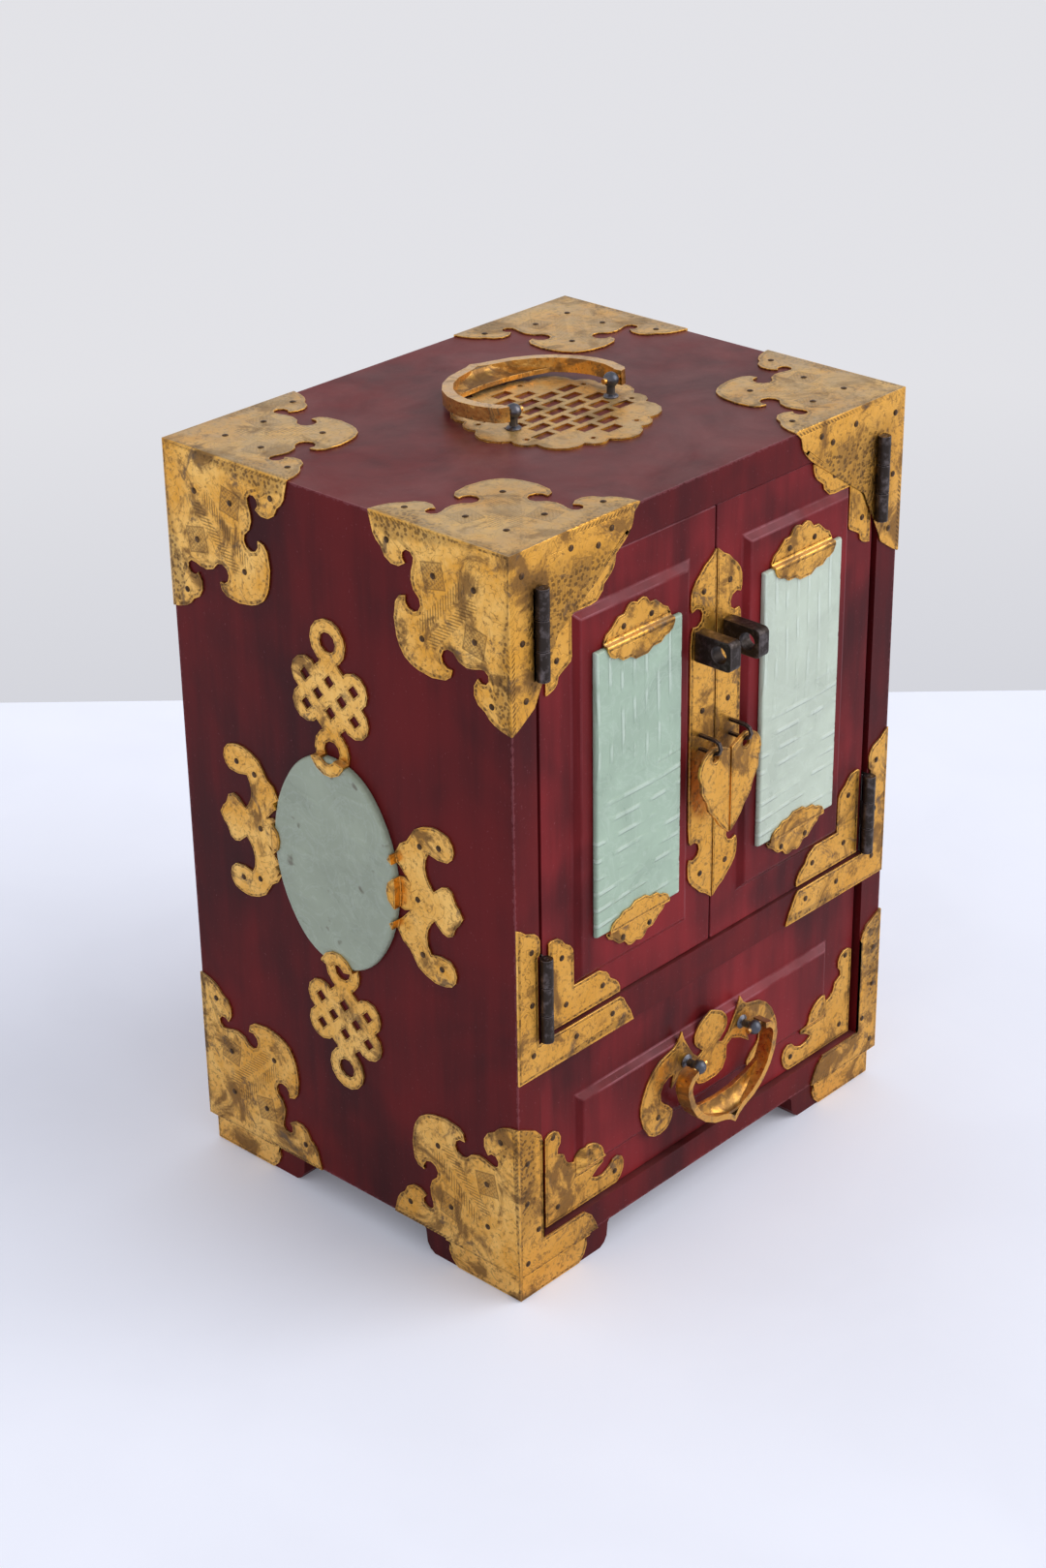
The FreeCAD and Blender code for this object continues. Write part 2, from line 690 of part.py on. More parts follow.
def hinge_leaf(label, z, door_side):
    """A hinge leaf with its knuckles, drawn about the pin with the leaf behind the barrel."""
    way = 1 if door_side else -1
    body = new_body(label, f"-{HINGE_X}", HINGE_Y, z)
    outer, bore = value("BarrelRadius"), value("PinRadius + PinClearance")
    far, near = value("HingeGap") / 2, value("HingeGap / 2 - HingeLeafThickness")
    start = value("HingeProud + DoorRecess - HingeLeafLift")
    deep = start + value("HingeLeafDepth")
    strip = [(near * way, start), (far * way, start), (far * way, deep), (near * way, deep)]
    pad(body, sketch(body, "XY_Plane", outline(strip)), "BarrelLength")
    first, last = math.acos(near / outer), math.acos(far / outer) + 2 * math.pi
    keyhole = [(near * way, start + OVERLAP)]
    for step in range(HINGE_SIDES):
        angle = first + (last - first) * step / (HINGE_SIDES - 1)
        keyhole.append((outer * math.cos(angle) * way, outer * math.sin(angle)))
    keyhole.append((far * way, start + OVERLAP))
    profile = sketch(body, "XY_Plane", outline(keyhole) + outline(many_sided(bore, HINGE_SIDES)),
                     f"{KNUCKLE} + KnuckleGap" if door_side else None)
    knuckle = pad(body, profile, KNUCKLE)
    pattern = body.newObject("PartDesign::LinearPattern", label + "_pattern")
    pattern.Originals = [knuckle]
    pattern.Direction = (profile, ["N_Axis"])
    pattern.Occurrences = KNUCKLES // 2 if door_side else KNUCKLES // 2 + 1
    steps = pattern.Occurrences - 1
    pattern.setExpression("Length", full(f"{steps} * 2 * ({KNUCKLE} + KnuckleGap)"))
    body.Tip = pattern
    return body


def hinges():
    """Four hinges: leaves on the case and on the doors, and the pins that join them."""
    levels = {"lower": f"({CUPBOARD_FLOOR} + BarrelEndGap)",
              "upper": f"({CUPBOARD_TOP} - BarrelEndGap - BarrelLength)"}
    case = [hinge_leaf(f"case_leaf_{name}", z, False) for name, z in levels.items()]
    door = [hinge_leaf(f"door_leaf_{name}", z, True) for name, z in levels.items()]
    pins = []
    for name, z in levels.items():
        pin = doc.addObject("Part::Prism", f"hinge_pin_{name}")
        pin.Polygon = HINGE_SIDES
        bind(pin, Circumradius="PinRadius", Height="BarrelLength")
        place(pin, f"-{HINGE_X}", HINGE_Y, z)
        pins.append(pin)
    node(both_sides("case_hinge_leaves", case))
    node(both_sides("hinge_pins", pins))
    left = node(group("left_door_hinge_leaves", door))
    node(mirrored("right_door_hinge_leaves", left))


def raised_panel(body, left, right, low, high):
    """A field raised on the front of a board, with a bevel all round."""
    corners = [(left, low), (right, low), (right, high), (left, high)]
    field = pad(body, polygon(body, "XZ_Plane", corners), "PanelRise")
    field.setExpression("TaperAngle", full("-atan(PanelBevel / PanelRise)"))
    return field


def doors():
    """Two doors whose meeting edges are bevelled behind, so that either one opens by itself."""
    body = new_body("left_door_panel", f"-{DOOR_X}", DOOR_Y, DOOR_FLOOR)
    plan = [("0", "0"), (DOOR_WIDTH, "0"), (f"{DOOR_WIDTH} - SeamBevel", "DoorThickness"),
            ("0", "DoorThickness")]
    pad(body, polygon(body, "XY_Plane", plan), DOOR_HEIGHT)
    raised_panel(body, "HingeBorder", f"({DOOR_WIDTH} - SeamBorder)", "LowerBorder",
                 f"({DOOR_HEIGHT} - TopBorder)")
    node(body)
    node(mirrored("right_door_panel", body))


def cloud(lap):
    """The scalloped cloud outline of a clip, about the jade's end, widest just inside it."""
    half = [
        (0, 12.3, 0.0), (1.2, 13, 0.45), (6.5, 11.2, 0.0), (7.5, 10, 0.35), (13.5, 7.6, 0.0), (15, 6.2, 0.45),
        (19.3, -1, 0.3), (15.5, -5, 0.0), (13.5, -5.2, 0.35), (8, -7.2, 0.0), (6.5, -7.2, 0.3), (0, -9, 0.0),
    ]
    return scaled(with_reflection(half, lambda x, y: (-x, y)), -lap / half[-1][1])


def door_jade():
    """A jade slab on each raised panel, and the brass clips that lap over its ends."""
    jade_low = f"({PANEL_Z} - {JADE_HEIGHT} / 2)"
    jade_top = f"({PANEL_Z} + {JADE_HEIGHT} / 2)"
    corners = [("0", "0"), ("JadeWidth", "0"), ("JadeWidth", JADE_HEIGHT), ("0", JADE_HEIGHT)]
    slab = new_body("left_door_jade", f"{PANEL_X} - JadeWidth / 2", PANEL_Y, jade_low)
    block = pad(slab, polygon(slab, "XZ_Plane", corners), "JadeThickness")
    blank = box("door_jade_blank", ("JadeWidth", "JadeThickness", JADE_HEIGHT),
                (f"{PANEL_X} - JadeWidth / 2", f"{PANEL_Y} - JadeThickness", jade_low))
    chamfer_face(slab, block, Vector(0, -1, 0), "JadeChamfer")
    node(slab)
    node(mirrored("right_door_jade", slab))
    high = "(JadeThickness + SheetThickness)"
    reach = box("door_jade_lap",
                ("JadeWidth + 2 * SheetThickness", high, f"{JADE_HEIGHT} + 2 * SheetThickness"),
                (f"{PANEL_X} - JadeWidth / 2 - SheetThickness", f"{PANEL_Y} - {high}",
                 f"{jade_low} - SheetThickness"))
    clips = []
    upper = cloud(value("ClipLap"))
    lower = scaled(upper, value("LowerClipScale"), -value("LowerClipScale"))
    for name, z, points in (("upper", jade_top, upper), ("lower", jade_low, lower)):
        spot = (PANEL_X, PANEL_Y, z)
        low_clip = plate(f"clip_{name}_low", points, spot)
        high_clip = plate(f"clip_{name}_high", points, spot, thickness=high)
        clips.append(lapped(f"door_clip_{name}", low_clip, high_clip, reach, blank))
    left = node(group("left_door_clips", clips))
    node(mirrored("right_door_clips", left))


def door_hinge_plates():
    """Brass plates on the doors' outer corners, cut to the border round the raised panel."""
    side, head, foot = (value(f"{border} - EdgeMargin")
                        for border in ("HingeBorder", "TopBorder", "LowerBorder"))
    upper = [
        (2.7, -0.7), (42.2, -0.7), (41.6, -4.2, 0.15), (39.2, -8.2), (35.2, -11.2, 0.1), (34.7, -13.5),
        (31.2, -16.7, 0.1), (24.2, -head), (side, -head), (side, -32.2, 0.2), (16.7, -36.2),
        (11.2, -39.2, 0.1), (9.7, -40.2), (9.2, -42.7, 0.2), (5.2, -45.2), (2.7, -45.7),
    ]
    lower = [
        (2.7, 0.7), (44.7, 0.7), (44.7, 3.2, 0.15), (42.2, 7.2), (38.7, 9.7, 0.15), (36.7, 13.2, 0.1),
        (32.2, foot), (side, foot), (side, 30, 0.2), (15.5, 34.5), (12.2, 36.7, 0.15), (8.2, 40.7),
        (4.2, 41.2, 0.1), (2.7, 40.5),
    ]
    top = plate("door_plate_upper", upper, (f"-{DOOR_X}", DOOR_Y, DOOR_TOP))
    low = plate("door_plate_lower", lower, (f"-{DOOR_X}", DOOR_Y, DOOR_FLOOR))
    left = node(group("left_door_hinge_plates", [top, low]))
    node(mirrored("right_door_hinge_plates", left))


def lock_plates():
    """The long brass lock plate, parted along the seam between the doors."""
    seam, wide, tip = value("SeamGap") / 2, value("LockHalfWidth"), value(LOCK_HEIGHT) / 2
    half = [
        (seam, tip, 0.1), (4, tip - 3, 0.15), (10, tip - 7.5, 0.1), (14.6, tip - 12.5, 0.15),
        (wide, tip - 17.5, 0.15), (wide - 0.6, tip - 22.6, -1.9), (wide - 1.4, tip - 29, 0.2),
        (wide - 0.4, tip - 33), (wide, tip - 36.5, 0.0),
    ]
    points = scaled(with_reflection(half, lambda x, y: (x, -y)), -1, 1)
    left = plate("left_lock_plate", points, ("0", DOOR_Y, LOCK_Z))
    node(left)
    node(mirrored("right_lock_plate", left))


def lock_lug(label, x):
    """A steel lug with a hole for a padlock's shackle."""
    reach = value("LugReach + DoorRecess - SheetThickness")
    tall, corner = value("LugHeight"), value("LugCorner")
    half = [(0, tall / 2), (corner - reach, tall / 2, math.tan(math.pi / 8)), (-reach, tall / 2 - corner)]
    body = new_body(label, x, f"{DOOR_Y} - SheetThickness", f"{LOCK_Z} + LugRise")
    hole = circle(tall / 2 - reach, 0, value("LugHoleRadius"))
    geometry = outline(with_reflection(half, lambda a, b: (a, -b))) + [hole]
    pad(body, sketch(body, "YZ_Plane", geometry), "LugThickness")
    return body


def lock_lugs():
    """One lug on each door, set at unequal distances from the seam."""
    node(lock_lug("left_lock_lug", "-LeftLugGap - LugThickness"))
    node(lock_lug("right_lock_lug", "RightLugGap"))


def pull_staple():
    """A staple of bent strip driven into the door, on which the pull hangs."""
    body = new_body("left_pull_staple", "-PullOffset", f"{FRONT} - PullProud", f"{LOCK_Z} - PullDrop")
    bend, half = value("StapleRadius"), value("StapleThickness") / 2
    leg = value("PullProud + DoorRecess - SheetThickness")
    outer, inner = bend + half, bend - half
    quarter = math.tan(math.pi / 8)
    loop = [
        (leg, outer), (0, outer, quarter), (-outer, 0, quarter), (0, -outer), (leg, -outer),
        (leg, -inner), (0, -inner, -quarter), (-inner, 0, -quarter), (0, inner), (leg, inner),
    ]
    pad(body, sketch(body, "YZ_Plane", light(loop)), "StapleThickness", midplane=True)
    return body


def pull_leaf():
    """Half of a heart-shaped leaf that hangs by its eye on the staple."""
    seam, eye = value("PullSeamGap / 2"), value("PullOffset")
    points = [
        (seam, -3.4, 0.1), (5.2, -1.3, 0.1), (eye, 0.2, 0.1), (13.8, -0.8, 0.2), (18.6, -5.6, 0.25),
        (18.4, -12.5, 0.0), (17.9, -13.2, 0.25), (15.2, -22, 0.0), (14.6, -22.6, 0.2), (9.8, -31.2, 0.0),
        (9.1, -31.6, 0.1), (4.2, -38, 0.1), (seam, -41),
    ]
    points = [(eye - x, y) + tuple(rest) for x, y, *rest in points]
    body = new_body("left_pull", "-PullOffset", f"{FRONT} - PullProud", f"{LOCK_Z} - PullDrop")
    eyelet = disc(0, -value("StapleRadius + PullSlack"), value("PullHoleRadius"))
    pad(body, sketch(body, "XZ_Plane", light(points, eyelet)), "PullThickness", midplane=True)
    return body


def door_pulls():
    """A staple and a hanging half leaf on each door."""
    staple = node(pull_staple())
    node(mirrored("right_pull_staple", staple))
    leaf = node(pull_leaf())
    node(mirrored("right_pull", leaf))


def around(radius, angle):
    """The spot at a distance and an angle from the middle."""
    return radius * math.cos(angle), radius * math.sin(angle)


def rosette():
    """The pierced plate under the carrying bail: a lobed rim round a lattice of staggered windows."""
    rim = value("RosetteRadius")
    step = 2 * math.pi / ROSETTE_LOBES
    edge, holes = [], []
    for lobe in range(ROSETTE_LOBES):
        wide_lobe = (*around(rim, (lobe - 0.32) * step), 0.62)
        narrow_lobe = (*around(rim, (lobe + 0.32) * step), 0.53)
        edge += [wide_lobe, narrow_lobe]
        holes.append(disc(*around(rim - 3.9, (lobe + 0.5) * step), 1.2))
    tall, wide, bar = 4.6, 9.0, 2.8
    for row in range(-4, 5):
        y = row * (tall + bar)
        for column in range(-3, 4):
            x = (column + (row % 2) / 2) * (wide + bar)
            window = [(x + i * wide / 2, y + j * tall / 2) for i, j in ((-1, -1), (1, -1), (1, 1), (-1, 1))]
            if max(math.hypot(*corner) for corner in window) < rim - 4.8:
                holes.append(window)
    body = new_body("rosette_plate", "RosetteX", f"{CASE_Y} + RosetteY", TOP)
    pad(body, sketch(body, "XY_Plane", light(edge, *holes)), "SheetThickness")
    return node(body)


def many_sided(radius, sides):
    """A regular polygon whose sides lie at the given distance from its middle."""
    corner = radius / math.cos(math.pi / sides)
    return [around(corner, 2 * math.pi * (k + 0.5) / sides) for k in range(sides)]


def turned(body, height, head, stem, foot):
    """A round head on a stem with a wider foot, all with flats round them."""
    def band(radius, start, length):
        section = outline(many_sided(value(radius), TURNED_SIDES))
        return pad(body, sketch(body, "XY_Plane", section, start), length)

    ball = band(head, f"{height} - {head}", f"2 * {head}")
    for way in (1, -1):
        ball = chamfer_face(body, ball, Vector(0, 0, way), f"0.5 * {head}")
    band(stem, "0", f"{height} - {head}")
    band(foot, "0", "PostFootHeight")


def handle_post(label, spot, height, rotation=None):
    """A post bored for the bail's trunnion."""
    body = new_body(label, *spot, rotation)
    turned(body, height, "PostHeadRadius", "PostStemRadius", "PostFootRadius")
    bore = circle(0, value(height), value("TrunnionRadius + TrunnionClearance"))
    pocket(body, sketch(body, "YZ_Plane", [bore], "-2 * PostHeadRadius"), True)
    return body


def backward(points):
    """An open line of points the other way round, each stretch keeping its bulge."""
    bulges = [0.0] + [point[2] for point in points[:-1]]
    return [(x, y, bulge) for (x, y, _), bulge in zip(points, bulges)][::-1]


def bail(label, spot, rotation, kind, web_side, pin_end):
    """A bail of thick band: a wide arc with a cusp in its middle, curled in to two trunnion pins.

    A crescent-shaped web fills the arc's middle along one edge of the band.
    """
    body = new_body(label, *spot, rotation)
    big, low, small, peak = (value(kind + size) for size in ("Radius", "Drop", "Curl", "Cusp"))
    half = value(f"{kind}Thickness / 2")
    lean = math.asin((low - small) / (big - small))
    shoulder = math.radians(78)
    end_x = (big - small) * math.cos(lean)
    curl_bulge = math.tan((math.pi / 2 - lean) / 4)
    arc_bulge = math.tan((shoulder + lean) / 4)
    cusp_bulge = 0.12

    def edge(offset, swell):
        radius = big + offset
        half_edge = [
            (end_x, -offset, swell * curl_bulge),
            (radius * math.cos(lean), low - radius * math.sin(lean), swell * arc_bulge),
            (radius * math.cos(shoulder), low + radius * math.sin(shoulder), -swell * cusp_bulge),
            (0, low + radius + peak),
        ]
        return with_reflection(half_edge, lambda x, y: (-x, y))

    band = edge(half, 1) + backward(edge(-half, -1))
    pad(body, sketch(body, "XY_Plane", light(band)), kind + "Width", midplane=True)
    spread = math.radians(value("WebHalfAngle"))
    x, y = big * math.sin(spread), low + big * math.cos(spread)
    crescent = light([(x, y, math.tan(spread / 2)), (-x, y, -0.2)])
    web_start = f"{web_side} * {kind}Width / 2"
    pad(body, sketch(body, "XY_Plane", crescent, web_start), "WebThickness", web_side > 0)
    for side in (1, -1):
        pin = sketch(body, "YZ_Plane", [circle(0, 0, value("TrunnionRadius"))], f"{side} * ({pin_end})")
        pad(body, pin, f"{end_x + OVERLAP} - ({pin_end})", side < 0)
    return body


def carrying_bail():
    """The bail on the top, lying back over its rosette, and its two posts, set a little askew."""
    x, y = "RosetteX + CarryShiftX", f"{CASE_Y} + RosetteY + CarryShiftY"
    askew = FreeCAD.Rotation(Vector(0, 0, 1), -value("CarryTurn"))
    posts = []
    for name, side in (("left", -1), ("right", 1)):
        reach = f"{side} * CarryPostSpacing / 2"
        spot = (f"{x} + {reach} * cos(CarryTurn)", f"{y} - {reach} * sin(CarryTurn)",
                f"{TOP} + SheetThickness")
        posts.append(handle_post(f"carry_post_{name}", spot, "(CarryPostHeight - SheetThickness)", askew))
    node(group("handle_posts", posts))
    tilt = FreeCAD.Rotation(Vector(1, 0, 0), -value("CarryTilt"))
    node(bail("carrying_handle", (x, y, f"{TOP} + CarryPostHeight"), askew * tilt, "Carry", -1,
              "CarryPostSpacing / 2 - PostHeadRadius - PinEndGap"))


def drawer_front(label, shift):
    """The drawer's front board with its raised panel."""
    body = new_body(label, f"-{DRAWER_HALF}", f"{DRAWER_Y} - {shift}", DRAWER_FLOOR)
    width = f"(2 * {DRAWER_HALF})"
    plan = [("0", "0"), (width, "0"), (width, "DrawerFrontThickness"), ("0", "DrawerFrontThickness")]
    pad(body, polygon(body, "XY_Plane", plan), DRAWER_HEIGHT)
    raised_panel(body, "DrawerPanelBorder", f"({width} - DrawerPanelBorder)", "DrawerPanelLow",
                 f"({DRAWER_HEIGHT} - DrawerPanelHigh)")
    return body


def drawer_box():
    """The boards behind the drawer's front."""
    start = f"({DRAWER_Y} + DrawerFrontThickness)"
    end = f"({BACK} - BackThickness - DrawerBackGap)"
    half = f"({DRAWER_HALF} - DrawerBoxInset)"
    floor = f"({BAY_FLOOR} + DrawerRunGap)"
    thick = "DrawerBoardThickness"
    inner = f"({half} - {thick})"
    side = box("drawer_side_left", (thick, f"{end} - {start}", "DrawerBoxHeight"),
               (f"-{half}", start, floor))
    node(both_sides("drawer_sides", [side]))
    node(box("drawer_back", (f"2 * {inner}", thick, "DrawerBoxHeight"),
             (f"-{inner}", f"{end} - {thick}", floor)))
    node(box("drawer_bottom", (f"2 * {inner}", f"{end} - {start} - {thick}", "DrawerBottomThickness"),
             (f"-{inner}", start, floor)))


def drawer_corner_plate(front):
    """A brass plate on the drawer's lower corner, bent up over the corner of the raised panel."""
    points = [
        (1.6, 1), (45, 1, 0.3), (49.5, 9.5, 0.8), (40.5, 11, 0.0), (36.5, 9.2, -0.2), (29.5, 11.5, -0.1),
        (36.8, 15.5, 0.3), (34.3, 22, 0.2), (32.8, 26.3, 0.1), (28, 30, 0.35), (21.5, 29.3, 0.1),
        (18.6, 24.2, -0.2), (14.2, 27, 0.0), (12.8, 31, 0.0), (9, 33, -0.3), (10.8, 37.6, 0.8), (1.6, 43.5),
    ]
    spot = (f"-{DRAWER_HALF}", DRAWER_Y, DRAWER_FLOOR)
    cutter = plate("drawer_plate_outline", points, spot, thickness="(PanelRise + SheetThickness)")
    skin = doc.addObject("Part::Common", "drawer_plate_skin")
    skin.Base, skin.Tool = cutter, drawer_front("drawer_front_skin", "SheetThickness")
    left = doc.addObject("Part::Cut", "drawer_plate_corner")
    left.Base, left.Tool = skin, front
    node(both_sides("drawer_corner_plates", [left]))


def drawer_bat():
    """The large bat plate behind the drawer's handle."""
    half = [
        (0, 72, 0.0), (4, 70.2, 0.15), (9.5, 66, 0.4), (9, 58, 0.1), (5, 54.5, 0.0), (8, 53, -0.15),
        (14, 60, -0.05), (17.5, 66, 0.0), (19, 70.5, 0.1), (21.5, 66.5, -0.1), (24, 64.5, 0.05),
        (32.5, 62.2, 0.2), (43.5, 49.5, 0.15), (45, 41, 0.15), (39.5, 29, 0.3), (28.5, 27.5, 0.3),
        (24.5, 35, 0.1), (27.5, 38.5, -0.1), (32, 42.5, -0.3), (30.5, 50, -0.2), (24, 52, 0.0),
        (25.5, 45.5, -0.1), (14, 52, 0.0), (10.5, 50, 0.1), (10.5, 44, 0.1), (8, 39.5, 0.15), (0, 38),
    ]
    points = with_reflection(half, lambda x, y: (-x, y))
    holes = [disc(19.4, 66.6, 0.9), disc(-19.4, 66.6, 0.9)]
    return plate("drawer_bat_plate", points, ("0", DRAWER_PANEL_Y, BASE), holes=holes)


def main_drawer():
    """The wide drawer under the doors, with its plates and its handle."""
    front = node(drawer_front("drawer_front", "0"))
    drawer_box()
    drawer_corner_plate(front)
    node(drawer_bat())
    x, y, z = "DrawerHandleShift", f"{FRONT} - DrawerBailProud", f"{BAY_FLOOR} + DrawerPostHeight"
    seat = f"({DRAWER_PANEL_Y} - SheetThickness)"
    askew = FreeCAD.Rotation(Vector(0, 1, 0), -value("DrawerHandleTurn"))
    outward = askew * FreeCAD.Rotation(Vector(1, 0, 0), 90)
    hanging = askew * FreeCAD.Rotation(Vector(1, 0, 0), -90)
    posts = []
    for name, side in (("left", -1), ("right", 1)):
        reach = f"{side} * DrawerPostSpacing / 2"
        spot = (f"{x} + {reach} * cos(DrawerHandleTurn)", seat, f"{z} + {reach} * sin(DrawerHandleTurn)")
        tall = f"({seat} - {FRONT} + DrawerBailProud)"
        posts.append(handle_post(f"drawer_post_{name}", spot, tall, outward))
    node(group("drawer_handle_posts", posts))
    node(bail("drawer_handle", (x, y, z), hanging, "DrawerBail", 1,
              "DrawerPostSpacing / 2 - PostHeadRadius - PinEndGap"))


def small_drawers():
    """Three small drawers behind the doors, on shelves let in between the sides."""
    parts = {"fronts": [], "sides": [], "backs": [], "bottoms": [], "knobs": []}
    thick = "InnerBoardThickness"
    start = f"({INNER_Y} + InnerFrontThickness)"
    end = f"({BACK} - BackThickness - InnerBackGap)"
    inner = f"({INNER_HALF} - {thick})"
    tall = f"({INNER_HEIGHT} - InnerRimDrop)"
    shelves = []
    for tier in range(INNER_DRAWERS):
        floor = f"({CUPBOARD_FLOOR} + {tier} * {INNER_PITCH} + InnerGap)"
        face = (f"2 * {INNER_HALF}", "InnerFrontThickness", INNER_HEIGHT)
        parts["fronts"].append(box(f"inner_front_{tier}", face, (f"-{INNER_HALF}", INNER_Y, floor)))
        for name, x in (("left", f"-{INNER_HALF}"), ("right", inner)):
            parts["sides"].append(box(f"inner_side_{name}_{tier}", (thick, f"{end} - {start}", tall),
                                      (x, start, floor)))
        parts["backs"].append(box(f"inner_back_{tier}", (f"2 * {inner}", thick, tall),
                                  (f"-{inner}", f"{end} - {thick}", floor)))
        sheet = (f"2 * {inner}", f"{end} - {start} - {thick}", "InnerBottomThickness")
        parts["bottoms"].append(box(f"inner_bottom_{tier}", sheet, (f"-{inner}", start, floor)))
        parts["knobs"].append(small_knob(f"inner_knob_{tier}", f"{floor} + {INNER_HEIGHT} / 2"))
        if tier:
            board = (f"2 * {HALF_OPENING}", f"{BACK} - BackThickness - {INNER_Y}", "ShelfThickness")
            shelves.append(box(f"shelf_{tier}", board,
                               (f"-{HALF_OPENING}", INNER_Y, f"{floor} - InnerGap - ShelfThickness")))
    node(group("cupboard_shelves", shelves))
    for name, items in parts.items():
        node(group(f"inner_drawer_{name}", items))


def small_knob(label, z):
    """A small brass knob on a narrow neck."""
    body = new_body(label, "0", INNER_Y, z, FreeCAD.Rotation(Vector(1, 0, 0), 90))
    turned(body, "(KnobReach - KnobRadius)", "KnobRadius", "(0.5 * KnobRadius)", "(0.8 * KnobRadius)")
    return body


def check_and_write():
    """Stop on a failed object or an empty cut, then write each piece to its own file."""
    for item in doc.Objects:
        if "Invalid" in item.State or "Error" in item.State:
            raise RuntimeError(f"{item.Label} failed: {item.State}")
    for cut in pockets:
        if cut.Shape.Volume > cut.BaseFeature.Shape.Volume - 1e-3:
            raise RuntimeError(f"{cut.Label} cuts nothing")
    for item in nodes:
        if item.Shape.isNull() or not item.Shape.isValid() or not item.Shape.Solids:
            raise RuntimeError(f"{item.Label} is not a sound solid")
    os.makedirs("parts", exist_ok=True)
    for item in nodes:
        item.Shape.exportStep(f"parts/{item.Label}.step")
    print(f"{len(nodes)} pieces, {sum(len(item.Shape.Solids) for item in nodes)} solids")


case_boards()
feet()
corner_mounts()
lower_case_plates()
side_ornaments()
hinges()
doors()
door_jade()
door_hinge_plates()
lock_plates()
lock_lugs()
door_pulls()
rosette()
carrying_bail()
main_drawer()
small_drawers()
doc.recompute()
check_and_write()
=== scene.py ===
import json
import math

import bpy
from bpy.props import FloatProperty, FloatVectorProperty, PointerProperty
from mathutils import Matrix, Vector

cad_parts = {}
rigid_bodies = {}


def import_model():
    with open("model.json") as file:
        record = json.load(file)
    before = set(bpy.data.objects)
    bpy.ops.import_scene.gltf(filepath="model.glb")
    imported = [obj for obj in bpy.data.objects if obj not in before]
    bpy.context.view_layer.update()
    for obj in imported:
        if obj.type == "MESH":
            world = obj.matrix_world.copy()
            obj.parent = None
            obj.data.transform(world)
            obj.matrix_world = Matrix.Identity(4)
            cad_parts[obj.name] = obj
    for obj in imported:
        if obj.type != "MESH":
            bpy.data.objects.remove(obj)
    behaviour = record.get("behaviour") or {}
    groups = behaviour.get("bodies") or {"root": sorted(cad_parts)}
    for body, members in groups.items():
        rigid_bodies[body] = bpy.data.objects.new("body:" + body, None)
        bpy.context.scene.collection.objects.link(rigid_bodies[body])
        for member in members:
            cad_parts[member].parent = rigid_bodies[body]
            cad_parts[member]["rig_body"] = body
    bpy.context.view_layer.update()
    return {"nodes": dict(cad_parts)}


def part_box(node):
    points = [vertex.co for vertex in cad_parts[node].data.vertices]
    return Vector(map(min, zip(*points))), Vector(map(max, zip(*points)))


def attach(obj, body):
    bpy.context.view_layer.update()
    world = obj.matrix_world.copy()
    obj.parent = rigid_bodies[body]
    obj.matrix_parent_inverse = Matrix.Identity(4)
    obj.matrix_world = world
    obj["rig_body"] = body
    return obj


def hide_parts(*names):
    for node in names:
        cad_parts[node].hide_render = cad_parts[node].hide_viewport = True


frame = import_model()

bl_info = {
    "name": "Jewelry Cabinet",
    "version": (1, 0, 0),
    "blender": (4, 5, 0),
    "location": "View3D > Sidebar > Cabinet",
    "description": "Dresses the lacquered cabinet in brass, jade and steel and sets the stage round it",
    "category": "Object",
}

MM = 0.001
X, Y, Z = range(3)
LEFT, RIGHT, FORWARD, BACKWARD, UP = (
    Vector(way) for way in ((-1, 0, 0), (1, 0, 0), (0, -1, 0), (0, 1, 0), (0, 0, 1))
)
HALF_WIDTH = -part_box("left_side_board")[0].x
CASE_FRONT, CASE_BACK = (corner.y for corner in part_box("left_side_board"))
CASE_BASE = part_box("bottom_board")[0].z
CASE_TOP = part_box("top_board")[1].z
SHEET = 0.9 * MM
JADE_RISE = 2.4 * MM
PANEL_RISE = 2.5 * MM


# What the user can change


def size_property(name, size, description):
    """A length, given here in millimetres."""
    return FloatProperty(name=name, default=size * MM, description=description, unit="LENGTH", precision=5)


def colour_property(name, colour, description):
    """A finish's colour, as linear red, green and blue."""
    return FloatVectorProperty(name=name, default=colour, size=3, min=0, max=1, subtype="COLOR",
                               description=description)


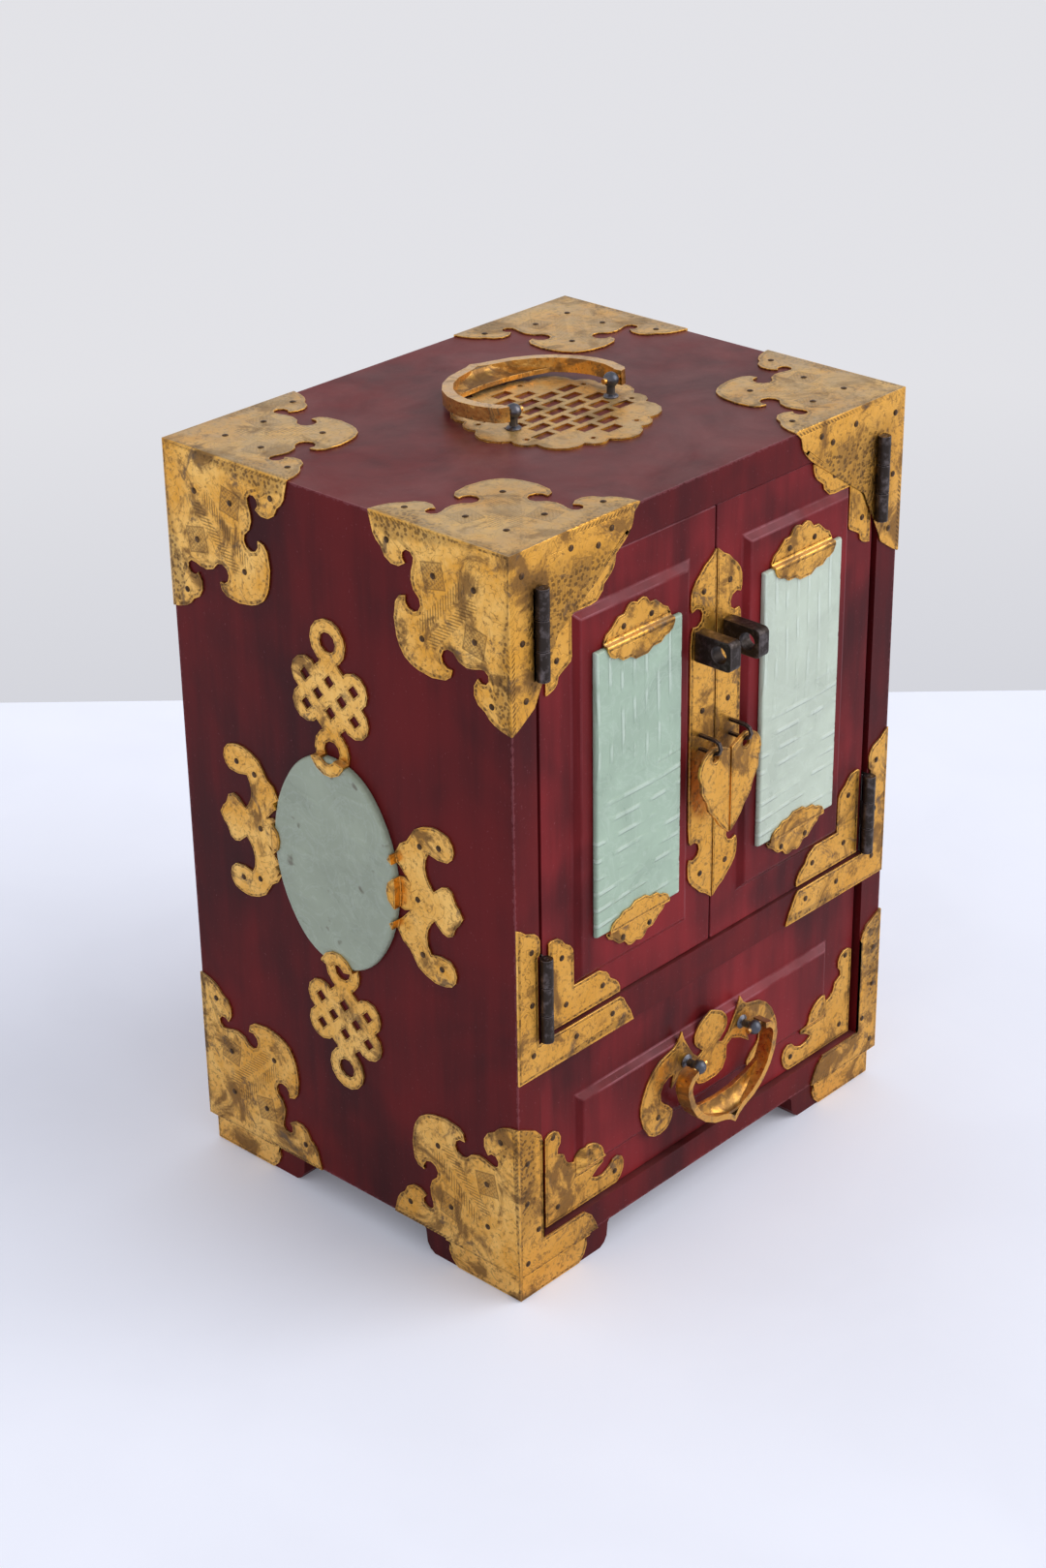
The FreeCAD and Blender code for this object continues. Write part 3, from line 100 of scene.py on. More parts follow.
class CabinetFinish(bpy.types.PropertyGroup):
    """Colours of the cabinet's materials."""

    lacquer_dark: colour_property("Lacquer, dark", (0.042, 0.0045, 0.0055), "Darkest brushing of the lacquer")
    lacquer_red: colour_property("Lacquer, red", (0.128, 0.008, 0.009), "Brightest brushing of the lacquer")
    lacquer_front: colour_property("Lacquer, front", (0.21, 0.015, 0.018), "Lacquer of doors and drawer")
    # Worn lacquer, also used as a painted highlight on upward-facing slopes and edges of doors and drawer.
    lacquer_worn_and_highlight: colour_property("Lacquer, worn", (0.36, 0.13, 0.15), "Lacquer rubbed thin along the edges")
    # Dust, together with a painted sheen, on the upward faces of the top board.
    lacquer_dust_and_sheen: colour_property("Lacquer, dusty", (0.22, 0.080, 0.078), "Haze of dust on the top board")
    bare_wood: colour_property("Bare wood", (0.22, 0.095, 0.042), "Unlacquered wood inside the drawers")
    brass: colour_property("Brass", (0.93, 0.56, 0.155), "Brass kept clean by handling")
    # Older, more orange brass, also laid on forward faces as painted shade.
    brass_deep_and_front_shade: colour_property("Brass, deep", (0.76, 0.365, 0.052), "Older, more orange brass")
    brass_tarnish: colour_property("Brass, tarnished", (0.21, 0.105, 0.035), "Brown patches on the brass")
    brass_soot: colour_property("Brass, sooty", (0.12, 0.085, 0.065), "Grey patches on the brass")
    brass_dust: colour_property("Brass, dusty", (0.44, 0.305, 0.15), "Dust on brass that faces up")
    # Pale rims of the bails: rubbing, with a painted highlight on faces that face up.
    rubbed_brass_and_highlight: colour_property("Brass, rubbed", (0.62, 0.43, 0.27), "Pale rims of the bails")
    engraving: colour_property("Engraving", (0.10, 0.05, 0.018), "Dirt in the engraved lines")
    nail_dark: colour_property("Nails, dark", (0.030, 0.015, 0.007), "Darkest patches on the nail heads")
    nail_brown: colour_property("Nails, brown", (0.11, 0.055, 0.02), "Lightest patches on the nail heads")
    steel: colour_property("Steel", (0.035, 0.026, 0.022), "Dark steel of lugs, posts and hinges")
    steel_worn: colour_property("Steel, worn", (0.24, 0.20, 0.20), "Steel rubbed along the edges")
    post_steel: colour_property("Post steel", (0.085, 0.09, 0.11), "Bluish steel of the posts' heads")
    left_jade: colour_property("Left door's jade", (0.355, 0.465, 0.36), "Jade on the left door")
    right_jade: colour_property("Right door's jade", (0.50, 0.57, 0.47), "Jade on the right door")
    oval_jade: colour_property("Side jade", (0.35, 0.40, 0.305), "Jade ovals on the sides")
    # Pale veins in the jade, also used as a painted highlight on the carving's ridges.
    jade_vein_and_highlight: colour_property("Jade veins", (0.68, 0.76, 0.70), "Pale veins in the jade")
    jade_spot: colour_property("Jade spots", (0.10, 0.07, 0.04), "Brown spots in the side jade")


class CabinetSizes(bpy.types.PropertyGroup):
    """Sizes that the visible pieces add to the construction."""

    sheet_edge: size_property("Sheet edge", 0.22, "Rounding along the edges of the brass sheet")
    fold_edge: size_property("Fold edge", 1.0, "Rounding where a clip climbs onto the jade")
    border: size_property("Engraved border", 1.8, "Width of the engraved border along a sheet's outline")
    fine_border: size_property("Fine border", 1.1, "Width of the border on the narrow ornaments")
    nail_radius: size_property("Nail radius", 1.35, "Radius of a nail's head")
    nail_height: size_property("Nail height", 0.45, "How far a nail's head stands proud")
    timber_edge: size_property("Timber edge", 0.6, "Rounding along the edges of doors and drawer")
    jade_edge: size_property("Jade edge", 0.5, "Rounding along the edges of the jade")
    bail_edge: size_property("Bail edge", 0.95, "Rounding along the edges of the bails")
    lug_edge: size_property("Lug edge", 0.45, "Rounding along the edges of the lugs")
    staple_edge: size_property("Staple edge", 0.2, "Rounding along the edges of the pulls' staples")
    hinge_edge: size_property("Hinge edge", 0.12, "Rounding along the edges of hinges and pins")
    back_sink: size_property("Back sink", 0.45, "How far the brass on the back is let in under its nails")


class CabinetStage(bpy.types.PropertyGroup):
    """The table, the light and the camera."""

    camera_place: FloatVectorProperty(name="Camera place", default=(-0.82665, -0.75077, 0.73366), size=3,
                                      subtype="TRANSLATION", unit="LENGTH",
                                      description="Where the camera stands")
    camera_turn: FloatVectorProperty(name="Camera turn", size=3, subtype="EULER", unit="ROTATION",
                                     default=tuple(math.radians(a) for a in (62.975, 0.7625, -47.3597)),
                                     description="Which way the camera looks")
    lens: FloatProperty(name="Lens", default=68.154, unit="CAMERA", description="Focal length")
    table_reach: FloatProperty(name="Table reach", default=0.433, unit="LENGTH",
                               description="How far the table goes on behind the cabinet")
    table: colour_property("Table", (0.80, 0.825, 0.925), "Pale cloth on the table")
    table_glow: FloatProperty(name="Table glow", default=0.10,
                              description="Paleness that the table keeps in the shadows")
    room_light: FloatProperty(name="Room light", default=0.78,
                              description="Strength of the even light all round")
    room_tint: colour_property("Room tint", (0.97, 0.98, 1.0), "Colour of the even light all round")
    daylight: FloatProperty(name="Daylight", default=1.65,
                            description="Strength of the daylight from the right")
    daylight_from: FloatVectorProperty(name="Daylight from", default=(0.52, -0.69, 0.50), size=3,
                                       subtype="DIRECTION", description="Where the daylight comes from")
    daylight_spread: FloatProperty(name="Daylight spread", default=math.radians(55), subtype="ANGLE",
                                   description="How wide the daylight is, which softens the shadows")
    wall: colour_property("Wall", (0.765, 0.765, 0.80), "Plain wall behind the table")
    # Painted shade on the plain wall just above the table's edge.
    wall_low_shade: colour_property("Wall, low", (0.655, 0.662, 0.712), "The wall just above the table's edge")


def sizes():
    return bpy.context.scene.cabinet_sizes


def finish():
    return bpy.context.scene.cabinet_finish


# Working on one piece


def activate(piece):
    """Make a piece the only selected one."""
    bpy.ops.object.select_all(action="DESELECT")
    piece.select_set(True)
    bpy.context.view_layer.objects.active = piece


def edit_mode(select="DESELECT"):
    """Go into edit mode on the active piece, in face mode, with everything selected or nothing."""
    bpy.ops.object.mode_set(mode="EDIT")
    bpy.ops.mesh.select_mode(type="FACE")
    bpy.ops.mesh.select_all(action=select)


def object_mode():
    bpy.ops.object.mode_set(mode="OBJECT")


def edit_only(piece, kind, wanted):
    """Go into edit mode on a piece with only the wanted faces, edges or corners selected."""
    activate(piece)
    edit_mode()
    bpy.ops.mesh.select_mode(type=kind)
    object_mode()
    parts = {"FACE": piece.data.polygons, "EDGE": piece.data.edges, "VERT": piece.data.vertices}[kind]
    for part in parts:
        part.select = wanted(part)
    bpy.ops.object.mode_set(mode="EDIT")


def fixed_place(piece):
    """Put the piece's place into its mesh, so that its object stays at the origin."""
    activate(piece)
    bpy.ops.object.transform_apply(location=True, rotation=True, scale=True)


def copy_of(node, name):
    """A CAD piece's own copy to work on, its loose triangles joined into flat faces."""
    piece = bpy.data.objects.new(name, frame["nodes"][node].data.copy())
    piece.data.name = name
    piece.data.materials.clear()
    bpy.context.scene.collection.objects.link(piece)
    activate(piece)
    bpy.ops.mesh.customdata_custom_splitnormals_clear()
    edit_mode("SELECT")
    bpy.ops.mesh.remove_doubles(threshold=1e-6)
    bpy.ops.mesh.dissolve_limited(angle_limit=math.radians(0.6))
    object_mode()
    return piece


def placed_copy(source, name, matrix):
    """A copy of a piece with its own mesh, moved and turned."""
    piece = source.copy()
    piece.data = source.data.copy()
    bpy.context.scene.collection.objects.link(piece)
    piece.matrix_world = matrix
    fixed_place(piece)
    piece.name = name
    return piece


def apply_modifier(piece, kind, **settings):
    """Add a modifier, set it and apply it."""
    activate(piece)
    bpy.ops.object.modifier_add(type=kind)
    modifier = piece.modifiers[-1]
    for name, setting in settings.items():
        setattr(modifier, name, setting)
    bpy.ops.object.modifier_apply(modifier=modifier.name)


def cut_away(piece, cutter):
    """Take one piece's shape out of another."""
    apply_modifier(piece, "BOOLEAN", operation="DIFFERENCE", object=cutter, solver="EXACT")
    bpy.data.objects.remove(cutter)


def soften(piece, width, segments=2, angle=35, **settings):
    """Round the piece's sharp edges."""
    activate(piece)
    bpy.ops.object.shade_smooth()
    apply_modifier(piece, "BEVEL", width=width, segments=segments, limit_method="ANGLE",
                   angle_limit=math.radians(angle), use_clamp_overlap=True, **settings)


def shade(piece):
    """Shade the piece smooth, its large faces flat."""
    apply_modifier(piece, "WEIGHTED_NORMAL", weight=100, keep_sharp=True)


def join(pieces, name):
    """One piece made of several."""
    bpy.ops.object.select_all(action="DESELECT")
    for piece in pieces:
        piece.select_set(True)
    bpy.context.view_layer.objects.active = pieces[0]
    bpy.ops.object.join()
    pieces[0].name = name
    pieces[0].data.name = name
    return pieces[0]


def body_of(node):
    return frame["nodes"][node]["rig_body"]


def settle(piece, material, slot, node=None, body=None):
    """Give a finished piece its material and its place among the cabinet's bodies."""
    piece.data.materials.clear()
    piece.data.materials.append(material)
    stand_in(piece, slot, node, body)


def stand_in(piece, slot, node=None, body=None):
    """Let a piece ride on its body, and stand for its CAD node if it has one."""
    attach(piece, body or body_of(node))
    if node:
        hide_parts(node)


def coat(item, material):
    """Give a CAD piece its material."""
    if not item.data.materials:
        item.data.materials.append(material)
    for slot in item.material_slots:
        slot.material = material


# Node trees


class Nodes:
    """A node tree, put together a step at a time."""

    def __init__(self, tree):
        self.tree = tree
        tree.nodes.clear()

    def add(self, kind, inputs=None, **settings):
        """A node with its settings, its inputs set or linked."""
        node = self.tree.nodes.new("ShaderNode" + kind)
        for name, setting in settings.items():
            setattr(node, name, setting)
        for name, value in (inputs or {}).items():
            self.feed(node.inputs[name], value)
        return node

    def feed(self, socket, value):
        """Link an input to another node's output, or set it."""
        if isinstance(value, bpy.types.NodeSocket):
            self.tree.links.new(value, socket)
        elif socket.type == "RGBA":
            socket.default_value = (*value, 1)
        else:
            socket.default_value = value

    def math(self, operation, a, b=0.0):
        return self.add("Math", {0: a, 1: b}, operation=operation).outputs[0]

    def times(self, a, b):
        return self.math("MULTIPLY", a, b)

    def plus(self, a, b):
        return self.math("ADD", a, b)

    def minus(self, a, b):
        return self.math("SUBTRACT", a, b)

    def larger(self, a, b):
        return self.math("MAXIMUM", a, b)

    def smaller(self, a, b):
        return self.math("MINIMUM", a, b)

    def below(self, a, b):
        return self.math("LESS_THAN", a, b)

    def unsigned(self, a):
        return self.math("ABSOLUTE", a)

    def wave(self, along, spacing):
        """A sine that rises and falls once in each spacing."""
        return self.math("SINE", self.times(along, 2 * math.pi / spacing))

    def between(self, value, low, high, start=0.0, end=1.0, smooth=False):
        """Map a span of values to another, and stop at its ends."""
        spans = {"Value": value, "From Min": low, "From Max": high, "To Min": start, "To Max": end}
        return self.add("MapRange", spans, interpolation_type="SMOOTHSTEP" if smooth else "LINEAR").outputs[0]

    def mix(self, factor, a, b):
        """One colour laid over another."""
        return self.add("Mix", {0: factor, 6: a, 7: b}, data_type="RGBA").outputs[2]

    def split(self, vector):
        return self.add("SeparateXYZ", {"Vector": vector}).outputs[:3]

    def seen_directly(self):
        """One for what the camera, polished metal or glass sees, and nought for the light that falls."""
        path = self.add("LightPath").outputs
        seen = self.larger(path["Is Camera Ray"], path["Is Glossy Ray"])
        return self.larger(seen, path["Is Transmission Ray"])


class Recipe(Nodes):
    """A piece's material."""

    def __init__(self, name):
        self.material = bpy.data.materials.new(name)
        self.material.use_nodes = True
        super().__init__(self.material.node_tree)
        self.shader = self.add("BsdfPrincipled")
        self.add("OutputMaterial", {"Surface": self.shader.outputs[0]})
        self.place = self.add("TexCoord").outputs["Object"]

    def set(self, **inputs):
        """Set or link inputs of the shader, named with underscores for spaces."""
        for name, value in inputs.items():
            self.feed(self.shader.inputs[name.replace("_", " ")], value)

    def noise(self, scale, detail=3, roughness=0.55, distortion=0, stretch=None, place=None):
        """Noise with features a given number to the metre, drawn out along an axis."""
        place = place or self.place
        if stretch:
            place = self.add("Mapping", {"Vector": place, "Scale": stretch}).outputs[0]
        return self.add("TexNoise", {"Vector": place, "Scale": scale, "Detail": detail,
                                     "Roughness": roughness, "Distortion": distortion}).outputs[0]

    def cells(self, scale):
        """How far a point lies from the middle of its cell."""
        return self.add("TexVoronoi", {"Vector": self.place, "Scale": scale}).outputs[0]

    def facing(self, axis, start, end):
        """How far a surface faces along an axis, with the cabinet shut."""
        normal = self.add("TexCoord").outputs["Normal"]
        return self.between(self.split(normal)[axis], start, end)

    def facing_up(self):
        return self.facing(Z, 0.6, 0.9)

    def bump(self, height, depth):
        """Relief of a given depth, in metres."""
        return self.add("Bump", {"Height": height, "Distance": depth, "Strength": 1.0}).outputs[0]


def darker(colour, share):
    """A share of a colour."""
    return tuple(share * part for part in colour)


# Lacquer and wood


def case_edge_distance(recipe):
    """How far a point on the case's outer faces lies from the nearest edge of the case."""
    x, y, z = recipe.split(recipe.place)
    side = recipe.minus(HALF_WIDTH, recipe.unsigned(x))
    end = recipe.smaller(recipe.minus(y, CASE_FRONT), recipe.minus(CASE_BACK, y))
    level = recipe.smaller(recipe.minus(z, CASE_BASE), recipe.minus(CASE_TOP, z))
    least = recipe.smaller(recipe.smaller(side, end), level)
    most = recipe.larger(recipe.larger(side, end), level)
    total = recipe.plus(recipe.plus(side, end), level)
    return recipe.minus(recipe.minus(total, least), most)


def slope_wear_and_highlight(recipe, rubbing):
    """Rubbing on the slopes of the raised panels, with a painted highlight on those that face up."""
    patches = recipe.between(recipe.noise(30), 0.35, 0.6, 0.05, 0.3)
    return recipe.times(recipe.facing(Z, 0.3, 0.6), patches)


def case_wear(recipe, rubbing):
    """Rubbing along the case's own edges."""
    reach = recipe.times(recipe.between(rubbing, 0.35, 0.75), 1.6 * MM)
    return recipe.times(recipe.below(case_edge_distance(recipe), reach), 0.2)


def bevel_wear_and_highlight(recipe, rubbing):
    """Rubbing on the rounded edges of doors and drawer, with a painted highlight where they face up."""
    patches = recipe.between(recipe.noise(40, 3, 0.6), 0.35, 0.6, 0.12, 0.6)
    wear = recipe.times(patches, recipe.between(rubbing, 0.3, 0.55, 0.6, 1.0))
    return recipe.times(wear, recipe.facing(Z, -0.1, 0.5))


def red_lacquer(name, bright, wear, dusty=False):
    """Old red lacquer over wood, brushed along the grain and rubbed thin where the wear says; on doors and
    drawer the pale wear colour is also a painted highlight where slopes and edges face up, and on the top
    board dust comes with a painted sheen.
    """
    recipe = Recipe(name)
    colours = finish()
    streaks = recipe.noise(1, 4, 0.6, stretch=(70, 70, 6))
    clouds = recipe.noise(13, 3, 0.55, 0.4)
    rubbing = recipe.noise(420, 3, 0.7)
    tone = recipe.plus(recipe.times(streaks, 0.35), recipe.times(clouds, 0.65))
    colour = recipe.mix(recipe.between(tone, 0.34, 0.68, smooth=True), colours.lacquer_dark, bright)
    # On the top board, upward faces get dust mixed with a painted sheen: a pale haze that stands in for the
    # room's reflection.
    if dusty:
        dust_and_sheen = recipe.between(recipe.noise(24, 5, 0.6, 0.6), 0.32, 0.68, 0.10, 0.55)
        colour = recipe.mix(recipe.times(recipe.facing_up(), dust_and_sheen), colour, colours.lacquer_dust_and_sheen)
    # Worn lacquer, which on doors and drawer is also a painted highlight on slopes and edges that face up.
    colour = recipe.mix(wear(recipe, rubbing), colour, colours.lacquer_worn_and_highlight)
    specks = recipe.between(recipe.noise(900, 2, 0.5), 0.68, 0.76, 0, 0.2)
    colour = recipe.mix(specks, colour, colours.lacquer_worn_and_highlight)
    relief = recipe.plus(recipe.times(streaks, 0.6), recipe.times(rubbing, 0.25))
    recipe.set(Base_Color=colour, Roughness=recipe.between(clouds, 0.3, 0.7, 0.30, 0.42),
               Specular_IOR_Level=0.09, Normal=recipe.bump(relief, 0.10 * MM))
    return recipe.material


def plain_wood(name):
    """Bare reddish wood inside the drawers, with grain along the boards."""
    recipe = Recipe(name)
    tint = finish().bare_wood
    grain = recipe.noise(1, 6, 0.65, 0.3, stretch=(260, 22, 260))
    rings = recipe.noise(1, 3, 0.5, 1.2, stretch=(60, 6, 60))
    tone = recipe.plus(recipe.times(grain, 0.5), recipe.times(rings, 0.5))
    colour = recipe.mix(recipe.between(tone, 0.38, 0.62), darker(tint, 0.45), tint)
    recipe.set(Base_Color=colour, Roughness=0.62, Normal=recipe.bump(grain, 0.15 * MM))
    return recipe.material


# Brass

ROPE_TWIST = 2.0 * MM
HATCH_SPACING = 1.9 * MM
SQUARE_REACH = 5.6 * MM
SQUARES = (((37.5 * MM, 17 * MM), 0.2), ((17 * MM, 37.5 * MM), -0.2))


def brass_colour(recipe, extra=0.0):
    """Brass with brown and grey patches and painted shade that makes it deeper where it faces forward; how
    tarnished it is, and its finest mottling.
    """
    metal = finish()
    fine = recipe.noise(420, 3, 0.6)
    age = recipe.plus(recipe.times(recipe.noise(34, 3, 0.6, 0.5), 0.7), recipe.times(fine, 0.3))
    colour = recipe.mix(recipe.between(age, 0.38, 0.62), metal.brass_deep_and_front_shade, metal.brass)
    # Painted shade: brass that faces forward is painted deeper and darker.
    forward = recipe.times(recipe.facing(Y, -0.6, -0.9), 0.7)
    colour = recipe.mix(forward, colour, metal.brass_deep_and_front_shade)
    brown = recipe.between(recipe.noise(52, 6, 0.66, 0.7), 0.50 - extra, 0.62 - extra, 0, 0.85, smooth=True)
    grey = recipe.between(recipe.noise(64, 6, 0.72, 1.0), 0.57 - extra, 0.67 - extra, 0, 0.75, smooth=True)
    specks = recipe.between(recipe.noise(480, 3, 0.65), 0.55, 0.66, 0, 0.6)
    colour = recipe.mix(brown, colour, metal.brass_tarnish)
    colour = recipe.mix(grey, colour, metal.brass_soot)
    colour = recipe.mix(specks, colour, metal.brass_tarnish)
    return colour, recipe.larger(brown, grey), fine


def band(recipe, value, start, full, fade, end):
    """One inside a band of values, nought outside, with soft limits."""
    return recipe.times(recipe.between(value, start, full), recipe.between(value, end, fade))


def feather(recipe, u, v):
    """A feathered band along the leaf's diagonal."""
    along = recipe.times(recipe.plus(u, v), math.sqrt(0.5))
    across = recipe.unsigned(recipe.times(recipe.minus(u, v), math.sqrt(0.5)))
    barbs = recipe.between(recipe.wave(recipe.plus(along, across), HATCH_SPACING), 0.05, 0.5)
    inside = band(recipe, across, 1.0 * MM, 1.5 * MM, 6.0 * MM, 6.6 * MM)
    ends = band(recipe, along, 27 * MM, 28 * MM, 59 * MM, 62 * MM)
    return recipe.times(recipe.times(barbs, inside), recipe.times(ends, 0.65))


def square_depth(recipe, u, v, spot, lean):
    """How far inside a leaning square a point of the leaf lies: above zero inside it."""
    along, up = recipe.minus(u, spot[0]), recipe.minus(v, spot[1])
    cos, sin = math.cos(lean), math.sin(lean)
    turned_u = recipe.plus(recipe.times(along, cos), recipe.times(up, sin))
    turned_v = recipe.minus(recipe.times(up, cos), recipe.times(along, sin))
    return recipe.minus(SQUARE_REACH, recipe.larger(recipe.unsigned(turned_u), recipe.unsigned(turned_v)))


def hatched_squares(recipe, u, v):
    """A hatched square round each middle nail: its lines, and where it darkens the brass."""
    lines = shade_inside = 0.0
    for spot, lean in SQUARES:
        depth = square_depth(recipe, u, v, spot, lean)
        rim = band(recipe, depth, 0.0, 0.15 * MM, 0.6 * MM, 0.75 * MM)
        lines = recipe.larger(lines, recipe.times(rim, 0.5))
        shade_inside = recipe.larger(shade_inside, recipe.between(depth, 0.0, 0.3 * MM))
    crossing = recipe.times(recipe.wave(u, HATCH_SPACING), recipe.wave(v, HATCH_SPACING))
    hatch = recipe.between(crossing, 0.1, 0.5)
    return recipe.larger(lines, recipe.times(recipe.times(shade_inside, hatch), 0.5)), shade_inside


def rope(recipe, u, v):
    """A rope along the leaf's folds, fading towards the corner."""
    fold, along = recipe.smaller(u, v), recipe.larger(u, v)
    strip = band(recipe, fold, -0.5 * MM, 0.0, 1.2 * MM, 1.5 * MM)
    twist = recipe.between(recipe.wave(recipe.plus(along, fold), ROPE_TWIST), -0.2, 0.4)
    return recipe.times(recipe.times(twist, strip), recipe.between(along, 30 * MM, 42 * MM, 0.25, 0.9))


def sheet_engraving(recipe):
    """Punch marks along a sheet's outline, and thin lines that wind over it."""
    border = recipe.split(recipe.add("UVMap", uv_map="border").outputs[0])[0]
    punches = recipe.between(recipe.cells(520), 0.55, 0.35)
    ring = recipe.times(band(recipe, border, 0.08, 0.2, 0.78, 0.9), recipe.larger(punches, 0.45))
    winding = recipe.unsigned(recipe.minus(recipe.noise(120, 1, 0.4, 1.4), 0.5))
    return recipe.larger(ring, recipe.times(recipe.between(winding, 0.012, 0.004), 0.45))


def engraved_brass(name, leaf=False):
    """Engraved brass sheet with tarnish and dust, and on the corner mounts the leaf's own pattern."""
    recipe = Recipe(name)
    metal = finish()
    colour, tarnish, fine = brass_colour(recipe)
    lines = sheet_engraving(recipe)
    if leaf:
        u, v, _ = recipe.split(recipe.add("UVMap", uv_map="leaf").outputs[0])
        hatching, shade_inside = hatched_squares(recipe, u, v)
        for pattern in (feather(recipe, u, v), hatching, rope(recipe, u, v)):
            lines = recipe.larger(lines, pattern)
        colour = recipe.mix(recipe.times(shade_inside, 0.35), colour, metal.brass_tarnish)
    colour = recipe.mix(recipe.times(lines, 0.82), colour, metal.engraving)
    patches = recipe.between(recipe.noise(75, 4, 0.6), 0.35, 0.62, 0.25, 0.75)
    dust = recipe.times(recipe.facing_up(), patches)
    colour = recipe.mix(dust, colour, metal.brass_dust)
    height = recipe.minus(recipe.times(recipe.noise(150, 2, 0.5), 1.6), recipe.times(lines, 0.6))
    height = recipe.plus(height, recipe.times(fine, 0.25))
    rough = recipe.plus(recipe.between(fine, 0.3, 0.7, 0.30, 0.44), recipe.times(tarnish, 0.2))
    recipe.set(Base_Color=colour, Metallic=recipe.minus(1.0, recipe.times(dust, 0.7)), Roughness=rough,
               Normal=recipe.bump(height, 0.26 * MM))
    return recipe.material


def cast_brass(name, hollow=False):
    """Thick brass of the bails: rubbed pale with a painted highlight on the rim's upward faces, golden and
    brown with tarnish and painted shade in the hollow.
    """
    recipe = Recipe(name)
    metal = finish()
    colour, tarnish, fine = brass_colour(recipe, 0.05 if hollow else 0.01)
    lumps = recipe.noise(210, 3, 0.55, 0.6)
    if hollow:
        # Painted shade in the hollow: brown tarnish over the whole scoop, heaviest on its low lumps, on top
        # of the heavier tarnish patches.
        colour = recipe.mix(recipe.between(lumps, 0.42, 0.60, 0.85, 0.35), colour, metal.brass_tarnish)
    else:
        # Painted highlight: upward faces are painted pale, along with the rubbing.
        rubbed = recipe.times(recipe.between(lumps, 0.3, 0.6, 0.85, 0.4), recipe.facing_up())
        colour = recipe.mix(recipe.plus(recipe.times(rubbed, 0.8), 0.1), colour, metal.rubbed_brass_and_highlight)
    rough = recipe.plus(recipe.between(fine, 0.3, 0.7, 0.25, 0.4), recipe.times(tarnish, 0.2))
    recipe.set(Base_Color=colour, Metallic=1.0, Roughness=rough, Normal=recipe.bump(lumps, 0.4 * MM))
    return recipe.material


def nail_metal(name):
    """Brown nail heads with darker patches."""
    recipe = Recipe(name)
    patches = recipe.noise(600, 3, 0.6)
    colour = recipe.mix(recipe.between(patches, 0.35, 0.65), finish().nail_dark, finish().nail_brown)
    recipe.set(Base_Color=colour, Metallic=0.8, Roughness=0.42, Normal=recipe.bump(patches, 0.1 * MM))
    return recipe.material


# Steel and jade


def dark_steel(name, tint, roughness):
    """Browned steel, rubbed bright in places."""
    recipe = Recipe(name)
    rubs = recipe.between(recipe.noise(260, 4, 0.65), 0.5, 0.72)
    rounded = recipe.add("Bevel", {"Radius": 0.5 * MM}, samples=4).outputs[0]
    true = recipe.add("NewGeometry").outputs["Normal"]
    turn = recipe.add("VectorMath", {0: rounded, 1: true}, operation="DOT_PRODUCT").outputs["Value"]
    rim = recipe.between(turn, 0.995, 0.93)
    worn = recipe.larger(recipe.times(rubs, 0.5), recipe.times(rim, 0.8))
    recipe.set(Base_Color=recipe.mix(worn, tint, finish().steel_worn), Metallic=0.85,
               Roughness=recipe.between(rubs, 0, 1, roughness + 0.08, roughness - 0.08),
               Normal=recipe.bump(recipe.noise(330, 4, 0.6), 0.18 * MM))
    return recipe.material


def ridges(recipe, place, spacing, direction, wander, spread):
    """Rows of thin raised lines that wander, come and go."""
    rows = recipe.add("TexWave", {"Vector": place, "Scale": 0.314 / spacing, "Distortion": wander,
                                  "Detail": 1.0, "Detail Scale": spread}, bands_direction=direction)
    gaps = recipe.between(recipe.noise(70, 2, 0.5, place=place), 0.42, 0.56)
    return recipe.times(recipe.between(rows.outputs["Fac"], 0.70, 0.97, smooth=True), gaps)


def leaf_carving(recipe, place):
    """Fronds that hang down a door's slab above rows of rippling lines."""
    z = recipe.split(place)[Z]
    fronds = ridges(recipe, place, 7 * MM, "X", 6.0, 0.22)
    ripples = ridges(recipe, place, 7 * MM, "Z", 7.0, 0.2)
    level = recipe.plus(z, recipe.times(recipe.noise(30, 2), 0.03))
    lower = recipe.between(level, 28 * MM, 12 * MM)
    carved = recipe.plus(recipe.times(fronds, recipe.minus(1.0, lower)), recipe.times(ripples, lower))
    swell = recipe.times(recipe.noise(60, 3, 0.6), 0.6)
    return recipe.plus(recipe.times(carved, 0.7), swell)


def cloud_carving(recipe):
    """Low flowing relief over the side ovals."""
    flow = ridges(recipe, recipe.place, 9 * MM, "Z", 6.0, 0.5)
    return recipe.plus(recipe.times(flow, 0.3), recipe.times(recipe.noise(80, 3), 0.5))


def chipped_edge_in_shade(recipe, place, half_width):
    """Small chips along a slab's right edge, painted in dark lacquer with painted shade: one inside a chip.
    """
    x = recipe.split(place)[X]
    chips = recipe.noise(190, 1, 0.5, stretch=(0, 0, 1), place=place)
    reach = recipe.between(chips, 0.52, 0.62, 0, 1.0 * MM)
    return recipe.below(recipe.minus(half_width, x), reach)


